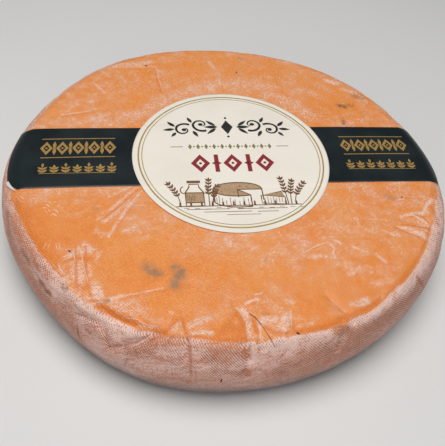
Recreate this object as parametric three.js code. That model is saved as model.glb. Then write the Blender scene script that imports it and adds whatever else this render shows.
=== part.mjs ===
import * as THREE from 'three';

// A whole round cheese about 330 mm across and 65 mm high, with a paper band laid across its top and
// a round paper label over the band. Millimetres, +Z up. The origin is on the underside, at the
// middle of the box round the object. +X runs along the band and +Y to the top of the label.

// Driving dimensions of the wheel.
const wheelRadius = 165;
const wheelHeight = 65.5;
const sidePower = 1.8;
const footInset = 7.5;
const footRadius = 7;
const topDroop = 1;
const droopStart = 95;

// Place of the wheel's own axis inside the object's box.
const boxShift = { x: 0, y: 0.7 };

// Paper band and label.
const paperThickness = 0.4;
const paperGap = 0.32;
const bandMiddleY = 8.8;
const bandHalfWidth = 31;
const labelRadius = 75;
const labelMiddle = { x: 1.9, y: 6.9 };
const labelRamp = 5;

// The wheel is a little oval along X, with slight corners: lobes round the wheel, millimetres
// that they stand out and the azimuth of one crest.
const outlineLobes = [
  [2, 4.6, -1],
  [3, 1.1, 6],
  [4, 0.7, -19],
  [5, 1, -29],
  [6, 0.7, -3],
  [7, 0.4, -20],
];

// Where the crisp top edge stands back more or less from the outline: azimuth, spread and millimetres.
const rimInset = 11.8;
const rimSwells = [
  [-171, 6, 1.5],
  [-155, 12, -1],
  [-103, 14, 2.2],
  [-82, 9, 1.8],
  [-60, 12, -2.6],
  [-22, 12, 1.5],
];

// Radius of the shoulder between the top and the side: softer at the band's two ends.
const shoulderMean = 9;
const shoulderTwofold = 2.4;
const shoulderFrontBack = 0.3;

// A place on the skin is [azimuth in degrees, reach in mm]. Reach is 0 on the crisp top edge,
// grows inwards along the top, and is minus the drop below the top down the side.
// Broad dents: place, radius and depth.
const dents = [
  { at: [-124, -3], radius: 17, depth: 2.6 },
  { at: [-97, 8], radius: 13, depth: 1.1 },
  { at: [-25, 8], radius: 11, depth: 1.3 },
  { at: [-70, -12], radius: 12, depth: 1 },
  { at: [-137, -16], radius: 14, depth: 1.2 },
  { at: [63, -32], radius: 20, depth: 1.6 },
  { at: [118, -34], radius: 18, depth: 1.8 },
];

// Folds pressed in by the cloth: path, half width and depth. Those past 20 degrees are on the far side.
const folds = [
  { path: [[-109, 15], [-107, 7], [-105.5, -4], [-104.2, -28]], width: 3, depth: 1.5 },
  { path: [[-110, 10], [-113, -3], [-117, -9], [-123, -24]], width: 3, depth: 1.3 },
  { path: [[-129, 0], [-123.6, -2], [-119, -1], [-112.5, -1]], width: 2.8, depth: 1.7 },
  { path: [[-133.5, -14], [-128, -9], [-125, -12], [-123.5, -23]], width: 3, depth: 1.3 },
  { path: [[-95, 22], [-93, 14], [-92, 0], [-91.5, -14]], width: 3, depth: 1.5 },
  { path: [[-91, 17], [-89.4, 0], [-89.5, -6]], width: 2.6, depth: 1.2 },
  { path: [[-80, 14], [-81.4, 0]], width: 2.6, depth: 0.9 },
  { path: [[-68, 20], [-66, -2], [-68, -8], [-71, -23]], width: 3, depth: 1.4 },
  { path: [[-131, 8], [-127, 7], [-123, 19], [-110, 38]], width: 2.8, depth: 0.9 },
  { path: [[-26, 24], [-25, 0]], width: 2.8, depth: 1.2 },
  { path: [[-30, 24], [-30.5, 0]], width: 2.6, depth: 1 },
  { path: [[-26, 24], [-19, 8]], width: 2.6, depth: 1 },
  { path: [[-43.3, -4], [-39.2, -21]], width: 3, depth: 1 },
  { path: [[158, 8], [150, 31]], width: 2.6, depth: 0.8 },
  { path: [[135, 6], [139, 30]], width: 2.6, depth: 0.8 },
  { path: [[36, -8], [41, -20], [38, -38]], width: 3.4, depth: 1.3 },
  { path: [[74, -10], [71, -20], [75, -36]], width: 3.4, depth: 1.4 },
  { path: [[104, -9], [108, -22], [103, -42]], width: 3.4, depth: 1.5 },
  { path: [[146, -8], [142, -20], [147, -38]], width: 3.4, depth: 1.2 },
];

// Angular steps: finer over the front, where the folds crowd.
const frontFrom = -142;
const frontTo = -60;
const frontStep = 1.3;
const plainStep = 3.1;

const topReaches = [12, 16, 20.5, 26, 33, 42, 54, 70, 100];
const shoulderSteps = 6;
const sideDrops = [17, 24, 31, 38, 45, 52];
const footSteps = 4;

const radians = Math.PI / 180;

function outlineRadius(azimuth) {
  let radius = wheelRadius;
  for (const [lobes, millimetres, crest] of outlineLobes) {
    radius += millimetres * Math.cos(lobes * (azimuth - crest * radians));
  }
  return radius;
}

function turnBetween(azimuth, degrees) {
  const turn = azimuth / radians - degrees;
  return turn - 360 * Math.round(turn / 360);
}

function edgeInset(azimuth) {
  let inset = rimInset;
  for (const [degrees, spread, millimetres] of rimSwells) {
    inset += millimetres * Math.exp(-((turnBetween(azimuth, degrees) / spread) ** 2));
  }
  return inset;
}

function shoulderRadius(azimuth) {
  return shoulderMean + shoulderTwofold * Math.cos(2 * azimuth) + shoulderFrontBack * Math.sin(azimuth);
}

// The crisp edge is the middle of the shoulder's quarter round, so part of its radius lies outside it.
const outerShare = 1 - Math.SQRT1_2;

function sideCurve(inset, height) {
  return inset * Math.abs(2 * height / wheelHeight - 1) ** sidePower;
}

function footRound(height) {
  const rise = Math.min(height, footRadius);
  return footRadius - Math.sqrt(footRadius ** 2 - (footRadius - rise) ** 2);
}

// Inset from the outline and height at a reach, before dents and folds.
function profileAt(azimuth, reach) {
  const shoulder = shoulderRadius(azimuth);
  const edge = edgeInset(azimuth);
  const sideInset = edge - outerShare * shoulder;
  const topStart = (1 - outerShare) * shoulder;
  if (reach >= topStart) {
    const inset = edge + reach;
    const radius = outlineRadius(azimuth) - inset;
    const outwards = Math.max(0, radius - droopStart) / (wheelRadius - droopStart);
    return { inset, height: wheelHeight - topDroop * outwards ** 2 };
  }
  const outwards = (outlineRadius(azimuth) - edge - topStart - droopStart) / (wheelRadius - droopStart);
  const top = wheelHeight - topDroop * outwards ** 2;
  if (reach > -shoulder) {
    const angle = (topStart - reach) / (topStart + shoulder) * Math.PI / 2;
    const height = top - shoulder * (1 - Math.cos(angle));
    return { inset: sideCurve(sideInset, height) + shoulder * (1 - Math.sin(angle)), height };
  }
  const height = Math.max(0, top + reach);
  const inset = height > wheelHeight / 2 ? sideInset : footInset;
  return { inset: sideCurve(inset, height) + footRound(height), height };
}

function plainPoint(azimuth, reach) {
  const { inset, height } = profileAt(azimuth, reach);
  const radius = Math.max(0, outlineRadius(azimuth) - inset);
  return new THREE.Vector3(radius * Math.cos(azimuth), radius * Math.sin(azimuth), height);
}

// Outward direction of the plain skin, from two short steps along it.
function skinNormal(azimuth, reach) {
  const turn = 0.004;
  const step = 0.5;
  const around = plainPoint(azimuth + turn, reach).sub(plainPoint(azimuth - turn, reach));
  const inwards = plainPoint(azimuth, reach + step).sub(plainPoint(azimuth, reach - step));
  return around.cross(inwards).normalize();
}

const foldLines = folds.map(({ path, width, depth }) => {
  const points = path.map(([degrees, reach]) => plainPoint(degrees * radians, reach));
  return { points, width, depth };
});

const dentSpots = dents.map(({ at, radius, depth }) => {
  return { centre: plainPoint(at[0] * radians, at[1]), radius, depth };
});

function distanceToLine(points, point) {
  let nearest = Infinity;
  const closest = new THREE.Vector3();
  for (let i = 1; i < points.length; i++) {
    new THREE.Line3(points[i - 1], points[i]).closestPointToPoint(point, true, closest);
    nearest = Math.min(nearest, closest.distanceTo(point));
  }
  return nearest;
}

// How deep dents and folds go at a point of the skin. The paper lies on the unbroken skin.
function reliefDepth(point) {
  let depth = 0;
  for (const dent of dentSpots) {
    const away = point.distanceTo(dent.centre) / dent.radius;
    if (away < 1) depth += dent.depth * (1 - away ** 2) ** 2;
  }
  for (const fold of foldLines) {
    const away = distanceToLine(fold.points, point) / fold.width;
    if (away < 2.5) depth += fold.depth * Math.exp(-(away ** 2));
  }
  return depth;
}

function wheelAzimuths() {
  const fine = Math.round((frontTo - frontFrom) / frontStep);
  const plain = Math.round((360 - (frontTo - frontFrom)) / plainStep);
  const azimuths = [];
  for (let i = 0; i < fine; i++) azimuths.push(frontFrom + (frontTo - frontFrom) * i / fine);
  for (let i = 0; i < plain; i++) azimuths.push(frontTo + (360 - frontTo + frontFrom) * i / plain);
  return azimuths.map((degrees) => degrees * radians);
}

// Points up one section of the wheel, from the middle of the underside to the middle of the top.
function wheelSection(azimuth) {
  const section = [new THREE.Vector3(0, 0, 0)];
  const foot = outlineRadius(azimuth) - sideCurve(footInset, 0) - footRadius;
  section.push(new THREE.Vector3(foot * Math.cos(azimuth), foot * Math.sin(azimuth), 0));
  const top = profileAt(azimuth, -shoulderRadius(azimuth)).height + shoulderRadius(azimuth);
  const reaches = [];
  for (let i = 1; i < footSteps; i++) {
    reaches.push(footRadius * (1 - Math.cos(i / footSteps * Math.PI / 2)) - top);
  }
  for (const drop of sideDrops.slice().reverse()) reaches.push(-drop);
  const shoulder = shoulderRadius(azimuth);
  const topStart = (1 - outerShare) * shoulder;
  for (let i = 0; i <= shoulderSteps; i++) {
    reaches.push(-shoulder + (topStart + shoulder) * i / shoulderSteps);
  }
  for (const reach of topReaches) reaches.push(reach);
  for (const reach of reaches) {
    const point = plainPoint(azimuth, reach);
    const depth = reliefDepth(point);
    if (depth > 0) point.addScaledVector(skinNormal(azimuth, reach), -depth);
    section.push(point);
  }
  section.push(new THREE.Vector3(0, 0, wheelHeight));
  return section;
}

function wheelGeometry() {
  const sections = wheelAzimuths().map(wheelSection);
  const outline = sections[0].map((point) => new THREE.Vector2(Math.hypot(point.x, point.y), point.z));
  const geometry = new THREE.LatheGeometry(outline, sections.length);
  const position = geometry.attributes.position;
  for (let i = 0; i <= sections.length; i++) {
    const section = sections[i % sections.length];
    section.forEach((point, j) => {
      position.setXYZ(i * section.length + j, point.x, point.y, point.z);
    });
  }
  return geometry;
}

// A closed thin sheet over a grid of places: under and over are its two faces.
function sheetGeometry(under, over) {
  const rows = under.length;
  const columns = under[0].length;
  const positions = [...under.flat(), ...over.flat()].flatMap((point) => [point.x, point.y, point.z]);
  const indices = [];
  const at = (face, row, column) => (face * rows + row) * columns + column;
  const quad = (a, b, c, d) => indices.push(a, b, c, a, c, d);
  for (let i = 1; i < rows; i++) {
    for (let j = 1; j < columns; j++) {
      quad(at(1, i - 1, j - 1), at(1, i - 1, j), at(1, i, j), at(1, i, j - 1));
      quad(at(0, i - 1, j - 1), at(0, i, j - 1), at(0, i, j), at(0, i - 1, j));
    }
    quad(at(0, i - 1, 0), at(1, i - 1, 0), at(1, i, 0), at(0, i, 0));
    quad(at(0, i - 1, columns - 1), at(0, i, columns - 1), at(1, i, columns - 1), at(1, i - 1, columns - 1));
  }
  for (let j = 1; j < columns; j++) {
    quad(at(0, 0, j - 1), at(0, 0, j), at(1, 0, j), at(1, 0, j - 1));
    quad(at(0, rows - 1, j - 1), at(1, rows - 1, j - 1), at(1, rows - 1, j), at(0, rows - 1, j));
  }
  const geometry = new THREE.BufferGeometry();
  geometry.setAttribute('position', new THREE.Float32BufferAttribute(positions, 3));
  geometry.setIndex(indices);
  geometry.computeVertexNormals();
  return geometry;
}

// The band's two ends: reach on the skin where the paper stops, at its +Y edge and at its -Y edge.
// Lines along the band lie flat to bandFlatHalf, and then crowd towards the end as the skin bends down.
const bandEnds = { left: { back: -4, front: -0.5 }, right: { back: -14, front: -3 } };
const bandRows = 9;
const bandFlatHalf = 128;
const bandFlatReach = 12;
const bandCrowding = 1.5;
const bandFlatStations = 10;
const bandBendStations = 11;

// Azimuth at which the skin at this reach stands at the given distance from the X axis.
function azimuthAtY(y, reach, side) {
  let azimuth = side > 0 ? 0 : Math.PI;
  for (let i = 0; i < 12; i++) {
    const radius = outlineRadius(azimuth) - profileAt(azimuth, reach).inset;
    azimuth = side > 0 ? Math.asin(y / radius) : Math.PI - Math.asin(y / radius);
  }
  return azimuth;
}

// Places along one line of the band, from its left end to its right end, with the skin's normal there.
function bandLine(y, share) {
  const line = [];
  const bend = (side, ends) => {
    const end = ends.front + (ends.back - ends.front) * share;
    const flatEdge = azimuthAtY(y, bandFlatReach, side);
    const outer = outlineRadius(flatEdge) - edgeInset(flatEdge);
    const start = outer - Math.hypot(bandFlatHalf, y);
    const stations = [];
    for (let i = 0; i <= bandBendStations; i++) {
      const reach = start + (end - start) * (1 - (1 - i / bandBendStations) ** bandCrowding);
      const azimuth = azimuthAtY(y, reach, side);
      stations.push({ point: plainPoint(azimuth, reach), normal: skinNormal(azimuth, reach) });
    }
    return stations;
  };
  line.push(...bend(-1, bandEnds.left).reverse());
  for (let i = 1; i < bandFlatStations; i++) {
    const x = bandFlatHalf * (2 * i / bandFlatStations - 1);
    const outwards = Math.max(0, Math.hypot(x, y) - droopStart) / (wheelRadius - droopStart);
    const point = new THREE.Vector3(x, y, wheelHeight - topDroop * outwards ** 2);
    line.push({ point, normal: new THREE.Vector3(0, 0, 1) });
  }
  line.push(...bend(1, bandEnds.right));
  return line;
}

function bandGeometry() {
  const under = [];
  const over = [];
  for (let i = 0; i < bandRows; i++) {
    const share = i / (bandRows - 1);
    const line = bandLine(bandMiddleY + bandHalfWidth * (2 * share - 1), share);
    under.push(line.map(({ point, normal }) => point.clone().addScaledVector(normal, paperGap)));
    over.push(line.map(({ point, normal }) => point.clone().addScaledVector(normal, paperGap + paperThickness)));
  }
  return sheetGeometry(under, over);
}

// Height of the label's underside: on the skin, or lifted over the band, with a short ramp between.
function labelHeight(y) {
  const past = Math.abs(y - bandMiddleY) - bandHalfWidth;
  const ramp = THREE.MathUtils.clamp((past - paperGap) / labelRamp, 0, 1);
  return wheelHeight + paperGap + (paperGap + paperThickness) * (1 - ramp);
}

function labelGeometry() {
  const sides = 72;
  const levels = [];
  for (let i = 0; i < sides / 2; i++) {
    levels.push(labelMiddle.y + labelRadius * Math.sin((2 * i + 1 - sides / 2) * Math.PI / sides));
  }
  for (const side of [-1, 1]) {
    for (const past of [paperGap, paperGap + labelRamp]) {
      levels.push(bandMiddleY + side * (bandHalfWidth + past));
    }
  }
  levels.sort((a, b) => a - b);
  const under = [];
  const over = [];
  for (const y of levels) {
    const half = Math.sqrt(labelRadius ** 2 - (y - labelMiddle.y) ** 2);
    const across = (height) => [-1, 0, 1].map((s) => new THREE.Vector3(labelMiddle.x + s * half, y, height));
    under.push(across(labelHeight(y)));
    over.push(across(labelHeight(y) + paperThickness));
  }
  return sheetGeometry(under, over);
}

const rindFinish = new THREE.MeshStandardMaterial({ color: 0xdf9258, roughness: 0.62, metalness: 0 });
const bandFinish = new THREE.MeshStandardMaterial({ color: 0x1e2829, roughness: 0.4, metalness: 0 });
const labelFinish = new THREE.MeshStandardMaterial({ color: 0xeae1cf, roughness: 0.55, metalness: 0 });

const wheel = new THREE.Group();

function addPiece(name, geometry, material) {
  const mesh = new THREE.Mesh(geometry, material);
  mesh.name = name;
  mesh.position.set(boxShift.x, boxShift.y, 0);
  wheel.add(mesh);
}

addPiece('cheese', wheelGeometry(), rindFinish);
addPiece('paper_band', bandGeometry(), bandFinish);
addPiece('paper_label', labelGeometry(), labelFinish);

export default wheel;
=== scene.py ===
import math

import bmesh
import bpy
import numpy as np
from mathutils import Matrix, Vector, noise


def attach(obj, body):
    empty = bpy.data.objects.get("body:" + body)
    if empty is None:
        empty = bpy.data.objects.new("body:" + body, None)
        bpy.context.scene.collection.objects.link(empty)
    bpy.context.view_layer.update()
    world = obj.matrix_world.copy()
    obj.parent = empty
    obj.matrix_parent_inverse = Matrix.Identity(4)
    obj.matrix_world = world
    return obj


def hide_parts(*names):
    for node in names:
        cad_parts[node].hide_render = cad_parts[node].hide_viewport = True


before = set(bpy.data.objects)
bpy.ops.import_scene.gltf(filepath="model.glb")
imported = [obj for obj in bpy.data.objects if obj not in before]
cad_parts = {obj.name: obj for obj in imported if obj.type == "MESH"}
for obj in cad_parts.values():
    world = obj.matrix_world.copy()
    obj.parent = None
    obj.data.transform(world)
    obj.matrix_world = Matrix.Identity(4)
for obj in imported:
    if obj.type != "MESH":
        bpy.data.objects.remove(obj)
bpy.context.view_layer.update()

# A whole raclette wheel with a dark paper band and a round label. Lengths below are millimetres
# in the frame of the solids, and meshes are written in metres.
mm = 0.001
scene = bpy.context.scene

photo = {
    "width": 445,                                  # pixels
    "height": 446,
    "focalPixels": 607.7,
    "cameraPlace": (-71.28, -323.33, 384.52),
    "forward": (0.14040, 0.63329, -0.76107),
    "right": (0.98973, -0.11051, 0.09062),
    "up": (0.02672, 0.76598, 0.64230),
    "sensor": 36.0,                                # width of the camera's sensor in millimetres
    "nearest": 330,                                # millimetres along the line of sight that are searched
    "farthest": 760,
    "raySteps": 860,
    "halvings": 24,
}

wheel = {
    "axis": (0.0, 0.7),                            # the wheel's own axis in the frame
    "radius": 165.0,
    "height": 65.5,
    "sidePower": 1.8,                              # how boxy the side's bulge is
    "footInset": 7.5,                              # from the outline in to the foot
    "footRadius": 7.0,
    "topDroop": 1.0,                               # fall of the top towards its edge
    "droopStart": 95.0,                            # radius at which the fall begins
    "rimInset": 11.8,                              # from the outline in to the crisp top edge
    # where the top edge lies further in or out: azimuth, spread in degrees and extra inset
    "rimSwells": [(-171, 6, 1.5), (-155, 12, -1), (-103, 14, 2.2),
                  (-82, 9, 1.8), (-60, 12, -2.6), (-22, 12, 1.5)],
    "shoulderMean": 9.0,                           # rounding of the shoulder, and how it changes around
    "shoulderTwofold": 2.4,
    "shoulderFrontBack": 0.3,
    # lobes of the outline: count, how far they stand out, and the azimuth of one crest
    "lobes": [(2, 4.6, -1), (3, 1.1, 6), (4, 0.7, -19), (5, 1.0, -29), (6, 0.7, -3), (7, 0.4, -20)],
    "skinBack": 0.16,                              # keeps the fine relief inside the solid
}


def outlineRadius(azimuth):
    radius = np.full_like(azimuth, wheel["radius"])
    for count, amount, crest in wheel["lobes"]:
        radius = radius + amount * np.cos(count * (azimuth - math.radians(crest)))
    return radius


def turnBetween(azimuth, degrees):
    turn = np.degrees(azimuth) - degrees
    return turn - 360 * np.round(turn / 360)


def edgeInset(azimuth):
    inset = np.full_like(azimuth, wheel["rimInset"])
    for degrees, spread, amount in wheel["rimSwells"]:
        inset = inset + amount * np.exp(-(turnBetween(azimuth, degrees) / spread) ** 2)
    return inset


def shoulderRadius(azimuth):
    return (wheel["shoulderMean"] + wheel["shoulderTwofold"] * np.cos(2 * azimuth)
            + wheel["shoulderFrontBack"] * np.sin(azimuth))


outerShare = 1 - math.sqrt(0.5)                    # the crisp edge is the middle of the shoulder


def sideCurve(inset, height):
    return inset * np.abs(2 * height / wheel["height"] - 1) ** wheel["sidePower"]


def footRound(height):
    foot = wheel["footRadius"]
    return foot - np.sqrt(foot ** 2 - (foot - np.minimum(height, foot)) ** 2)


def droopAt(radius):
    return np.maximum(0, radius - wheel["droopStart"]) / (wheel["radius"] - wheel["droopStart"])


def topEdgeHeight(azimuth):
    bendWidth = (1 - outerShare) * shoulderRadius(azimuth)
    outwards = droopAt(outlineRadius(azimuth) - edgeInset(azimuth) - bendWidth)
    return wheel["height"] - wheel["topDroop"] * outwards ** 2


def profileAt(azimuth, reach):
    # reach is 0 on the crisp top edge, grows inwards along the top, and is minus the drop down the side
    shoulder = shoulderRadius(azimuth)
    edge = edgeInset(azimuth)
    sideInset = edge - outerShare * shoulder
    topStart = (1 - outerShare) * shoulder
    topInset = edge + reach
    topHeight = wheel["height"] - wheel["topDroop"] * droopAt(outlineRadius(azimuth) - topInset) ** 2
    top = topEdgeHeight(azimuth)
    angle = np.clip((topStart - reach) / (topStart + shoulder), 0, 1) * math.pi / 2
    bendHeight = top - shoulder * (1 - np.cos(angle))
    bendInset = sideCurve(sideInset, bendHeight) + shoulder * (1 - np.sin(angle))
    sideHeight = np.maximum(0, top + reach)
    foot = np.where(sideHeight > wheel["height"] / 2, sideInset, wheel["footInset"])
    lowInset = sideCurve(foot, sideHeight) + footRound(sideHeight)
    onTop, onBend = reach >= topStart, reach > -shoulder
    inset = np.where(onTop, topInset, np.where(onBend, bendInset, lowInset))
    height = np.where(onTop, topHeight, np.where(onBend, bendHeight, sideHeight))
    return inset, height


def plainPoint(azimuth, reach):
    azimuth, reach = np.broadcast_arrays(np.asarray(azimuth, float), np.asarray(reach, float))
    inset, height = profileAt(azimuth, reach)
    radius = np.maximum(0, outlineRadius(azimuth) - inset)
    return np.stack([radius * np.cos(azimuth) + wheel["axis"][0],
                     radius * np.sin(azimuth) + wheel["axis"][1], height], -1)


def skinNormal(azimuth, reach):
    turn, step = 0.004, 0.4
    around = plainPoint(azimuth + turn, reach) - plainPoint(azimuth - turn, reach)
    inwards = plainPoint(azimuth, reach + step) - plainPoint(azimuth, reach - step)
    normal = np.cross(around, inwards)
    return normal / np.maximum(1e-9, np.linalg.norm(normal, axis=-1, keepdims=True))


def insideWheel(points):
    x, y, height = points[..., 0] - wheel["axis"][0], points[..., 1] - wheel["axis"][1], points[..., 2]
    azimuth, radius = np.arctan2(y, x), np.hypot(x, y)
    shoulder = shoulderRadius(azimuth)
    sideInset = edgeInset(azimuth) - outerShare * shoulder
    top = topEdgeHeight(azimuth)
    sine = np.sqrt(np.clip(1 - (1 - np.clip(top - height, 0, shoulder) / shoulder) ** 2, 0, 1))
    foot = np.where(height > wheel["height"] / 2, sideInset, wheel["footInset"])
    bend = np.where(height > top - shoulder, shoulder * (1 - sine), 0)
    inset = sideCurve(foot, np.clip(height, 0, wheel["height"])) + footRound(np.maximum(height, 0)) + bend
    underTop = height < wheel["height"] - wheel["topDroop"] * droopAt(radius) ** 2
    return (radius < outlineRadius(azimuth) - inset) & underTop & (height > 0)


def skinAtPixels(pixels):
    # where the photograph's line of sight through each pixel first meets the wheel
    pixels = np.asarray(pixels, float).reshape(-1, 2)
    start = np.array(photo["cameraPlace"])
    across = (pixels[:, 0] - photo["width"] / 2) / photo["focalPixels"]
    down = (pixels[:, 1] - photo["height"] / 2) / photo["focalPixels"]
    ray = (np.array(photo["forward"]) + across[:, None] * np.array(photo["right"])
           - down[:, None] * np.array(photo["up"]))
    steps = np.linspace(photo["nearest"], photo["farthest"], photo["raySteps"])
    inside = insideWheel(start + ray[:, None] * steps[None, :, None])
    first = np.where(inside.any(1), inside.argmax(1), 0)
    low, high = steps[np.maximum(first - 1, 0)], steps[first]
    for halving in range(photo["halvings"]):
        middle = (low + high) / 2
        isIn = insideWheel(start + ray * middle[:, None])
        low, high = np.where(isIn, low, middle), np.where(isIn, middle, high)
    return start + ray * high[:, None]


def azimuthOf(points):
    return np.arctan2(points[..., 1] - wheel["axis"][1], points[..., 0] - wheel["axis"][0])


def reachOf(points):
    # reach of points on the plain skin
    azimuth = azimuthOf(points)
    radius = np.hypot(points[..., 0] - wheel["axis"][0], points[..., 1] - wheel["axis"][1])
    shoulder, top = shoulderRadius(azimuth), topEdgeHeight(azimuth)
    topStart = (1 - outerShare) * shoulder
    onTop = outlineRadius(azimuth) - radius - edgeInset(azimuth)
    angle = np.arccos(np.clip(1 - (top - points[..., 2]) / shoulder, -1, 1))
    onBend = topStart - angle / (math.pi / 2) * (topStart + shoulder)
    reach = np.where(points[..., 2] > top - shoulder, onBend, points[..., 2] - top)
    return np.where(onTop >= topStart, onTop, reach)


def smooth(low, high, value):
    share = np.clip((value - low) / (high - low), 0, 1)
    return share * share * (3 - 2 * share)


def strokeDistance(points, path, halfWidth, endWidth=None):
    # distance from a path in half widths; the half width may change from the path's start to its end
    path = np.asarray(path, float)
    endWidth = halfWidth if endWidth is None else endWidth
    margin = 3 * max(halfWidth, endWidth)
    distance = np.full(len(points), 9.0)
    near = np.all((points > path.min(0) - margin) & (points < path.max(0) + margin), axis=1)
    if not near.any():
        return distance
    local = points[near]
    if len(path) == 1:
        distance[near] = np.linalg.norm(local - path[0], axis=1) / halfWidth
        return distance
    lengths = np.linalg.norm(np.diff(path, axis=0), axis=1)
    run = np.concatenate([[0], np.cumsum(lengths)])
    best = np.full(len(local), 9.0)
    for i, length in enumerate(lengths):
        along = (path[i + 1] - path[i]) / max(length, 1e-9)
        share = np.clip((local - path[i]) @ along, 0, length)
        away = np.linalg.norm(local - path[i] - share[:, None] * along, axis=1)
        width = halfWidth + (endWidth - halfWidth) * (run[i] + share) / run[-1]
        best = np.minimum(best, away / width)
    distance[near] = best
    return distance


def strokeStrength(points, path, halfWidth, endWidth=None):
    return np.exp(-strokeDistance(points, path, halfWidth, endWidth) ** 2)


print("skin functions ready")


# Meshes and materials

def linked(name, data):
    item = bpy.data.objects.new(name, data)
    scene.collection.objects.link(item)
    return item


def meshPiece(name, vertices, faces, material, smoothFaces=True):
    mesh = bpy.data.meshes.new(name)
    corners = [tuple(int(corner) for corner in face) for face in faces]
    mesh.from_pydata((np.asarray(vertices) * mm).tolist(), [], corners)
    mesh.validate()
    if smoothFaces:
        mesh.shade_smooth()
    for item in material if isinstance(material, list) else [material]:
        mesh.materials.append(item)
    return linked(name, mesh)


def builtPiece(name, build, material):
    mesh = bpy.data.meshes.new(name)
    build.to_mesh(mesh)
    build.free()
    mesh.materials.append(material)
    return linked(name, mesh)


class Shader:
    # a material's nodes, written as short calls
    def __init__(self, name):
        self.material = bpy.data.materials.new(name)
        self.material.use_nodes = True
        self.nodes = self.material.node_tree.nodes
        self.links = self.material.node_tree.links
        self.surface = self.nodes["Principled BSDF"]
        self.place = self.add("ShaderNodeTexCoord").outputs["Object"]

    def add(self, kind, inputs=(), **settings):
        node = self.nodes.new(kind)
        for key, value in settings.items():
            setattr(node, key, value)
        for key, value in dict(inputs).items():
            self.feed(node.inputs[key], value)
        return node

    def feed(self, socket, value):
        if isinstance(value, bpy.types.NodeSocket):
            self.links.new(value, socket)
        elif isinstance(value, tuple) and len(value) == 3 and socket.type == "RGBA":
            socket.default_value = (*value, 1)
        else:
            socket.default_value = value

    def maths(self, operation, *values):
        return self.add("ShaderNodeMath", dict(enumerate(values)), operation=operation).outputs[0]

    def times(self, a, b):
        return self.maths("MULTIPLY", a, b)

    def plus(self, a, b):
        return self.maths("ADD", a, b)

    def minus(self, a, b):
        return self.maths("SUBTRACT", a, b)

    def timesPlus(self, a, b, c):
        return self.maths("MULTIPLY_ADD", a, b, c)

    def larger(self, a, b):
        return self.maths("MAXIMUM", a, b)

    def weighted(self, *pairs):
        total = self.times(*pairs[0])
        for value, weight in pairs[1:]:
            total = self.timesPlus(value, weight, total)
        return total

    def mapRange(self, value, low, high, toLow=0.0, toHigh=1.0):
        sockets = {"Value": value, "From Min": low, "From Max": high, "To Min": toLow, "To Max": toHigh}
        return self.add("ShaderNodeMapRange", sockets, interpolation_type="SMOOTHSTEP").outputs[0]

    def mix(self, factor, a, b):
        node = self.add("ShaderNodeMix", data_type="RGBA")
        self.feed(node.inputs[0], factor)
        self.feed(node.inputs[6], a)
        self.feed(node.inputs[7], b)
        return node.outputs[2]

    def blendValue(self, factor, a, b):
        node = self.add("ShaderNodeMix", data_type="FLOAT")
        self.feed(node.inputs[0], factor)
        self.feed(node.inputs[2], a)
        self.feed(node.inputs[3], b)
        return node.outputs[0]

    def noise(self, scale, detail, roughness, vector=None):
        # at the piece's own place, unless a vector is given
        place = self.place if vector is None else vector
        inputs = {"Vector": place, "Scale": scale, "Detail": detail, "Roughness": roughness}
        return self.add("ShaderNodeTexNoise", inputs).outputs["Fac"]

    def stretched(self, alongX, alongY):
        inputs = {"Vector": self.place, "Scale": (alongX, alongY, 1.0)}
        return self.add("ShaderNodeMapping", inputs).outputs[0]

    def attribute(self, name):
        return self.add("ShaderNodeAttribute", attribute_name=name).outputs["Fac"]

    def bump(self, height, strength, distance):
        inputs = {"Height": height, "Strength": strength, "Distance": distance}
        return self.add("ShaderNodeBump", inputs).outputs[0]

    def finish(self, colour, roughness=None, normal=None, **fixed):
        for key, value in fixed.items():
            self.surface.inputs[key].default_value = value
        for key, value in (("Base Color", colour), ("Roughness", roughness), ("Normal", normal)):
            if value is not None:
                self.feed(self.surface.inputs[key], value)
        return self.material


# Marks on the rind. Each row has a path, given in the photograph's pixels and laid on the skin, its half
# width in millimetres, or one for each end of the path, and its strength from 0 to about 1.

boundaryPixels = [
    (9, 196), (13, 204), (18, 215), (25, 228), (35, 246), (47, 262), (57, 273), (66, 285), (80, 299),
    (97, 309), (114, 320), (132, 327), (150, 332), (163, 335), (190, 337), (216, 342), (247, 342),
    (262, 343), (276, 339), (293, 336), (318, 331), (343, 325), (356, 318), (372, 310), (385, 301),
    (396, 289), (410, 276), (417, 266), (425, 252), (430, 236), (434, 222), (436, 206), (438, 192),
]

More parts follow.
